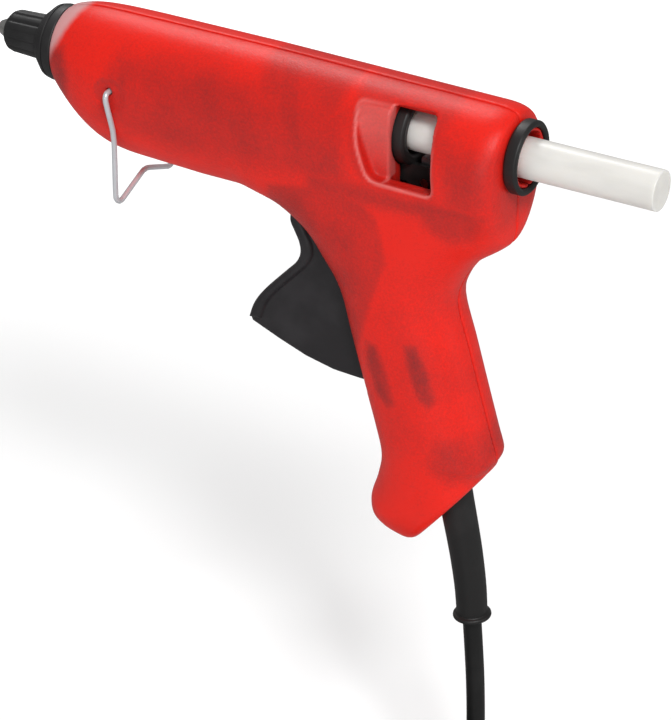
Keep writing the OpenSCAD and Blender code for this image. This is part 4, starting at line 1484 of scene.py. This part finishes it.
@dataclass
class Stand(Assembly):
    """Folding wire stand: two legs joined by a gable, with eyes that turn in the housing."""

    at: tuple[float, float] = STAND_EYE
    wire_r: float = 0.78
    leg_y: float = 17.6
    lean: float = 0.7
    low: float = -37.7

    def build(self) -> None:
        """Makes the wire as one tube: axle, leg, foot, gable, and the same mirrored. Each knot is its place
        across, its height, and how far it leans forward in units of lean."""
        z, y = self.at[1], self.leg_y
        half = np.array([
            [12.0, z, 0], [y - 1.9, z, 0], [y - 0.6, z - 0.3, 0.1], [y, z - 1.5, 0.3], [y - 0.3, z - 4, 0.6],
            [y - 1.0, z - 7.4, 1], [y - 2.2, z - 11.6, 1], [15.1, -17.4, 1], [14.9, -19.6, 1], [15.0, -26, 1],
            [15.1, self.low + 3.2, 1], [14.7, self.low + 1.2, 1], [13.5, self.low + 0.1, 1],
            [12.0, self.low, 1], [10.6, self.low + 0.5, 1], [1.9, self.low + 3.9, 1],
        ])
        line = np.vstack([half * [-1, 1, 1], [[0, self.low + 4.2, 1]], half[::-1]])
        path = catmull(np.column_stack([self.at[0] + self.lean * line[:, 2], line[:, :2]]), 7)
        piece = put_mesh("stand_wire", *tube(path, self.wire_r, 20, (1.0, 0.0, 0.0)), ZINC_WIRE)
        self.place(piece, "stand", "zinc_wire", "wire_stand")


@dataclass
class MainsLead(Assembly):
    """Strain relief, lead, its tied coil and the plug. The lead is one curve of 1.7 m.

    The coil has three columns of three turns. Each turn changes layer or column just before it would meet
    its own start, so that the lead never lies in itself.
    """

    diameter: float = 5.5
    length: float = 1.7
    coil_at: tuple[float, float] = (-47.0, -31.0)
    floor: float = -232.0
    tie_t: float = 0.8
    inner: float = 24.0
    tail_r: float = 20.0
    tail_turn: float = 210.0
    plug_h: float = 13.6
    pin_y: float = 9.3
    relief_r: float = 5.1
    relief_taper: float = 0.65
    lip: float = 2.4
    bead: float = 1.7
    band_half: float = 4.0

    @property
    def bottom(self) -> float:
        """Height of the lead's centreline in the coil's lowest layer."""
        return self.floor + self.tie_t + self.diameter / 2

    def coil(self) -> Array:
        """Coil: for a turn angle p, the point (r(p) cos(-p), r(p) sin(-p), z(p)), where r and z step by one
        diameter over smooth ramps.

        Returns:
            The centreline's points.
        """
        p = np.arange(0, 3030.1, 10.0)
        d = self.diameter

        def ramps(zones: Iterable[tuple[float, float, float]]) -> Array:
            """Sum of smooth steps d t^2 (3 - 2 t).

            Args:
                zones: start, end and size in diameters of each.

            Returns:
                The sum at each turn angle.
            """
            total = np.zeros_like(p)
            for start, end, size in zones:
                t = np.clip((p - start) / (end - start), 0, 1)
                total += d * size * t * t * (3 - 2 * t)
            return total

        radius = self.inner + 2 * d + ramps([(898, 988, -1), (1828, 1948, -1), (2888, 3030, 2)])
        height = self.bottom + ramps([
            (268, 328, 1), (628, 688, 1), (1213, 1288, -1), (1573, 1648, -1), (2098, 2188, 1),
            (2458, 2548, 1), (2818, 2908, 1),
        ])
        return self._bent(self.coil_at, radius, np.radians(-p), height)

    @staticmethod
    def _bent(middle: Sequence[float], radius: Array | float, angle: Array, height: Array) -> Array:
        """Points (x + r cos a, y + r sin a, z) round a middle.

        Args:
            middle: x and y.
            radius: r.
            angle: a.
            height: z.

        Returns:
            The points.
        """
        x, y = middle[0] + radius * np.cos(angle), middle[1] + radius * np.sin(angle)
        return np.stack([x, y, height], -1)

    def tail(self) -> tuple[Array, Array]:
        """Arc of radius tail_r from the coil's top to the plug, rising to the plug's middle.

        Returns:
            The arc's points, and the plug's place.
        """
        out = self.inner + 2 * self.diameter - self.tail_r
        turn = np.radians(self.tail_turn)
        middle = np.array([*self.coil_at, 0.0]) + out * np.array([np.cos(turn), np.sin(turn), 0])
        a = np.radians(np.linspace(self.tail_turn, 90, 14)[1:])
        share = 0.5 - 0.5 * np.cos(np.linspace(0, np.pi, 14)[1:])
        top = self.bottom + 3 * self.diameter
        z = top + (self.plug_h / 2 - self.diameter / 2) * share
        arc = self._bent(middle, self.tail_r, a, z)
        return arc, arc[-1] + [3.0, 0, 0]

    def route(self) -> Array:
        """The lead's centreline: the drop from the relief, the coil, and the tail that runs into the plug.

        Returns:
            Its points.
        """
        x, low = self.coil_at[0] + self.inner + 2 * self.diameter, self.bottom
        drop = np.array([
            [x - 2.49, 0, -149.55], [x - 1.8, 0, -158], [x - 1, 0, -169], [x - 0.5, 0, -180],
            [x - 0.2, 0, -193], [x, 0, -206], [x, -2, -215.2], [x, -7, -222.6], [x, -15, low + 1.1],
            [x, -24, low], [x, self.coil_at[1], low],
        ])
        arc, plug = self.tail()
        return np.vstack([catmull(drop, 4)[:-1], self.coil(), arc, plug + [4.0, 0, 0]])

    def relief(self) -> tuple[Array, Array]:
        """Relief: a tube whose radius tapers along its bent axis, with a flange inside and at its end a bead
        of section |u|^3 + v^2 = 1.

        Returns:
            Points and faces.
        """
        path = catmull(np.array([
            [-22.2, 0, -102.35], [RELIEF_AT[0], 0, RELIEF_AT[1]], [-18.3, 0, -121], [-16.59, 0, -129.79],
            [-15.15, 0, -139.7], [-14.36, 0, -149.55],
        ]), 64)
        run = np.concatenate([[0], np.cumsum(np.linalg.norm(np.diff(path, axis=0), axis=1))])
        radius = self.relief_r - self.relief_taper * run / run[-1]
        radius = np.where(run < self.lip, self.relief_r + 1.5, radius)
        across = (run - run[-1]) / (0.5 * self.bead) + 1
        foot = np.where(across > 0, self.diameter / 2 + 0.3, radius)
        bead = foot + (self.relief_r + 0.45 - foot) * np.sqrt(np.clip(1 - np.abs(across) ** 3, 0, 1))
        radius = np.where(across > -1, bead, radius)
        return tube(path, radius, 40)

    def plug(self, at: Array) -> tuple[Array, Array]:
        """Plug: an outline in plan, rounded over top and bottom, with finger grooves across both faces.

        Args:
            at: its place.

        Returns:
            Points and faces.
        """
        half = np.array([
            [-1, 3.6], [0, 4.4], [7, 5.4], [12, 12], [15, 13], [31.5, 10.5], [35.5, 8],
        ])
        outline = rounded(np.vstack([half, half[::-1] * [1, -1]]), 2.2)
        g = Lattice.box((-1, -13, -6.8), (35.5, 13, 6.8), 0.5)
        body = smooth_max(outline_distance(outline, g.x, g.y), np.abs(g.z) - self.plug_h / 2, 3.0)
        for x in (15.0, 19.0, 23.0):
            groove = np.hypot(g.x - x, np.abs(g.z) - self.plug_h / 2 - 0.3) - 1.2
            body = smooth_max(body, -np.maximum(groove, np.abs(g.y) - 7.5), 0.5)
        points, faces = g.skin(body)
        return points + at, faces

    def pins(self, at: Array) -> tuple[Array, Array]:
        """The two round pins, each a tube with a shallow step halfway and a domed end.

        Args:
            at: the plug's place.

        Returns:
            Points and faces of both.
        """
        x = np.array([0, 0.01, 10.0, 10.05, 17.6, 18.4, 18.8, 19.0])
        r = np.array([1.0, 1.9, 1.9, 2.0, 2.0, 1.7, 1.2, 0.5])
        path = np.column_stack([x + 35.5, 0 * x, 0 * x]) + at
        points, faces = tube(path, r, 28)
        side = [0, self.pin_y, 0]
        return np.vstack([points - side, points + side]), np.vstack([faces, faces + len(points)])

    def tie(self) -> tuple[Array, Array]:
        """Flat band round the coil's bundle: the shell between two rectangles, the outer one rounded.

        Returns:
            Points and faces.
        """
        gap, thick, half = 0.05, self.tie_t, self.band_half
        low = math.sqrt((self.inner - self.diameter / 2) ** 2 - half**2) - gap
        high = self.inner + 2.5 * self.diameter + gap
        wide, tall = (high - low) / 2, 1.5 * self.diameter + gap
        middle = [self.coil_at[0], self.coil_at[1] + (low + high) / 2, self.floor + thick + tall - gap]
        g = Lattice.box((-half, -wide - thick, -tall - thick), (half, wide + thick, tall + thick), 0.35)
        across, up = np.abs(g.y) - wide, np.abs(g.z) - tall
        band = np.maximum(smooth_max(across - thick, up - thick, 1.0), -np.maximum(across, up))
        points, faces = g.skin(smooth_max(band, np.abs(g.x) - half, 0.3))
        return points + middle, faces

    def build(self) -> None:
        relief = put_mesh("relief", *self.relief(), RING_BLACK)
        self.place(relief, "housing", "black_rubber", "strain_relief")
        route = to_row(self.route())
        data = bpy.data.curves.new("lead", "CURVE")
        data.dimensions = "3D"
        data.bevel_depth = self.diameter / 2 * MM
        data.bevel_resolution = 5
        spline = data.splines.new("POLY")
        spline.points.add(len(route) - 1)
        spline.points.foreach_set("co", np.column_stack([route, np.ones(len(route))]).ravel())
        spline.use_smooth = True
        data.use_fill_caps = True
        data.materials.append(CORD_BLACK.material())
        lead = add_object("lead", data)
        self.place(lead, "housing", "cord_rubber", "mains_lead", "lead_coil", "lead_tail")
        at = self.tail()[1]
        tie, plug, pins = (
            self.place(put_mesh(name, *made, finish), "housing", slot, node)
            for name, made, finish, slot, node in (
                ("tie", self.tie(), CORD_BLACK, "black_plastic", "lead_tie"),
                ("plug", self.plug(at), RING_BLACK, "black_plastic", "plug_body"),
                ("pins", self.pins(at), NICKEL_TIP, "nickel_pin", "plug_pins"),
            )
        )


@dataclass
class InnerParts(Assembly):
    """CAD pieces whose shape is right and which only take a finish."""

    finishes: dict[str, Finish] = field(default_factory=lambda: {
        "housing_screws": SCREW_STEEL, "valve_ball": SCREW_STEEL, "valve_spring": SPRING_STEEL,
        "melt_chamber": CAST_ALUMINIUM, "heater": CERAMIC, "heater_clamp": SPRING_STEEL,
        "front_insulator": CERAMIC, "rear_insulator": CERAMIC, "inlet_seal": SILICONE,
        "seal_clip": SPRING_STEEL, "feed_carriage": CARRIAGE_BLACK, "clamp_jaw": SPRING_STEEL,
        "jaw_pin": SCREW_STEEL, "pull_link": SPRING_STEEL, "link_pin_front": SCREW_STEEL,
        "link_pin_rear": SCREW_STEEL, "trigger_pin": SCREW_STEEL, "return_spring": SPRING_STEEL,
        "cable_clamp": NYLON_GREY, "clamp_screws": SCREW_STEEL, "terminal_block": NYLON_GREY,
        "lead_sheath": CORD_BLACK, "live_lead": CORE_BROWN, "neutral_lead": CORE_BLUE,
    })

    def build(self) -> None:
        """Gives each node's material slots its finish."""
        for name, finish in self.finishes.items():
            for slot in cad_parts[name].material_slots:
                slot.material = finish.material()
            LOG.info("%s: %s", name, finish.name)


@dataclass(frozen=True)
class Lamp:
    """A square soft lamp: the way to it from the object, its distance and side in metres, its watts."""

    name: str
    way: tuple[float, float, float]
    distance: float
    size: float
    power: float


@dataclass
class Studio:
    """White studio: camera, floor, lamps and surrounding light. Lengths are metres in the row frame.

    The camera looks at target from distance. Greys are levels from 0 to 1: ambient is the surrounding light,
    mirrored what shiny faces reflect of it; the floor's tone, its tone in a mirror and as a bouncer of light,
    and glow, the light that the camera adds to it near the object and beyond spread, in millimetres.
    """

    floor: float = -0.160
    reach: float = 6.0
    azimuth: float = 30.0
    elevation: float = 30.0
    distance: float = 0.9
    target: tuple[float, float, float] = (-0.02763, 0.0, -0.00591)
    lens: float = 159.8
    sensor: float = 36.0
    ambient: float = 0.46
    mirrored: float = 0.2
    floor_tone: float = 0.82
    floor_bounce: float = 0.9
    floor_mirrored: float = 0.24
    glow: tuple[float, float] = (0.2, 1.0)
    spread: tuple[float, float] = (340.0, 900.0)
    lamps: tuple[Lamp, ...] = (
        Lamp("key", (0.62, -0.65, 1.0), 1.7, 0.32, 14.6),
        Lamp("top", (-0.43, 0.49, 0.75), 1.5, 0.42, 7.0),
        Lamp("rim", (1.0, 0.12, 0.3), 1.6, 0.8, 2.6),
        Lamp("fill", (0.3, -1.0, 0.2), 1.6, 0.5, 3.0),
    )

    def aim(self, made: bpy.types.Object, way: Sequence[float], distance: float) -> None:
        """Stands a camera or lamp off the target and turns it to face it.

        Args:
            made: the camera or lamp.
            way: direction from the target to it.
            distance: how far off it stands.
        """
        way = Vector(way).normalized()
        made.location = Vector(self.target) + distance * way
        made.rotation_euler = (-way).to_track_quat("-Z", "Y").to_euler()

    def camera(self) -> None:
        """Sets the camera."""
        data = bpy.data.cameras.new("view")
        data.lens = self.lens
        data.sensor_width = self.sensor
        data.sensor_fit = "AUTO"
        data.clip_end = 20.0
        view = add_object("view", data)
        a, e = math.radians(self.azimuth), math.radians(self.elevation)
        back = (math.sin(a) * math.cos(e), -math.cos(a) * math.cos(e), math.sin(e))
        self.aim(view, back, self.distance)
        bpy.context.scene.camera = view

    def light(self, lamp: Lamp) -> None:
        """Adds one lamp.

        Args:
            lamp: what it is like.
        """
        data = bpy.data.lights.new(lamp.name, "AREA")
        data.shape = "SQUARE"
        data.size = lamp.size
        data.energy = lamp.power
        self.aim(add_object(lamp.name, data), lamp.way, lamp.distance)

    def ground(self) -> None:
        """Makes the floor, which the camera sees as white away from the object."""
        b = Board(bpy.data.materials.new("floor"))
        seen, mirrored = b.ray("Camera"), b.ray("Glossy")
        x, y, _ = b.axes()
        away = ((x * x + y * y) ** 0.5).step(*self.spread)
        near, far = self.glow
        bounce = b.mix(mirrored, grey(self.floor_bounce), grey(self.floor_mirrored))
        material = b.finish(
            Base_Color=b.mix(seen, bounce, grey(self.floor_tone)),
            Roughness=0.9,
            Emission_Color=b.mix(seen, grey(0.0), b.mix(away, grey(near), grey(far))),
            Emission_Strength=1.0,
        )
        mesh = bpy.data.meshes.new("floor")
        r, z = self.reach, self.floor
        mesh.from_pydata([(-r, -r, z), (r, -r, z), (r, r, z), (-r, r, z)], [], [(0, 1, 2, 3)])
        mesh.materials.append(material)
        add_object("floor", mesh)

    def surroundings(self) -> None:
        """Sets the world: white where the camera looks at it, and a soft grey as light."""
        world = bpy.data.worlds.new("studio")
        b = Board(world)
        seen, mirrored = b.ray("Camera"), b.ray("Glossy")
        colour = b.mix(seen, b.mix(mirrored, grey(self.ambient), grey(self.mirrored)), grey(1.0))
        light = b.node("ShaderNodeBackground", inputs={"Color": colour, "Strength": 1.0})
        b.close("ShaderNodeOutputWorld", light)
        bpy.context.scene.world = world

    def build(self) -> None:
        """Makes the camera, the floor, the surrounding light and the lamps."""
        bpy.context.scene.view_settings.view_transform = "Standard"
        self.camera()
        self.ground()
        self.surroundings()
        for lamp in self.lamps:
            self.light(lamp)


def main() -> None:
    """Builds the scene, group by group, each of which reports its pieces."""
    logging.basicConfig(level=logging.INFO, format="%(message)s")
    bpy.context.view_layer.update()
    Studio().build()
    for group in (MainsLead(), Housing(), Nozzle(), Feed(), Trigger(), Stand(), InnerParts()):
        group.build()
        LOG.info("%s done", type(group).__name__)


if __name__ == "__main__":
    main()
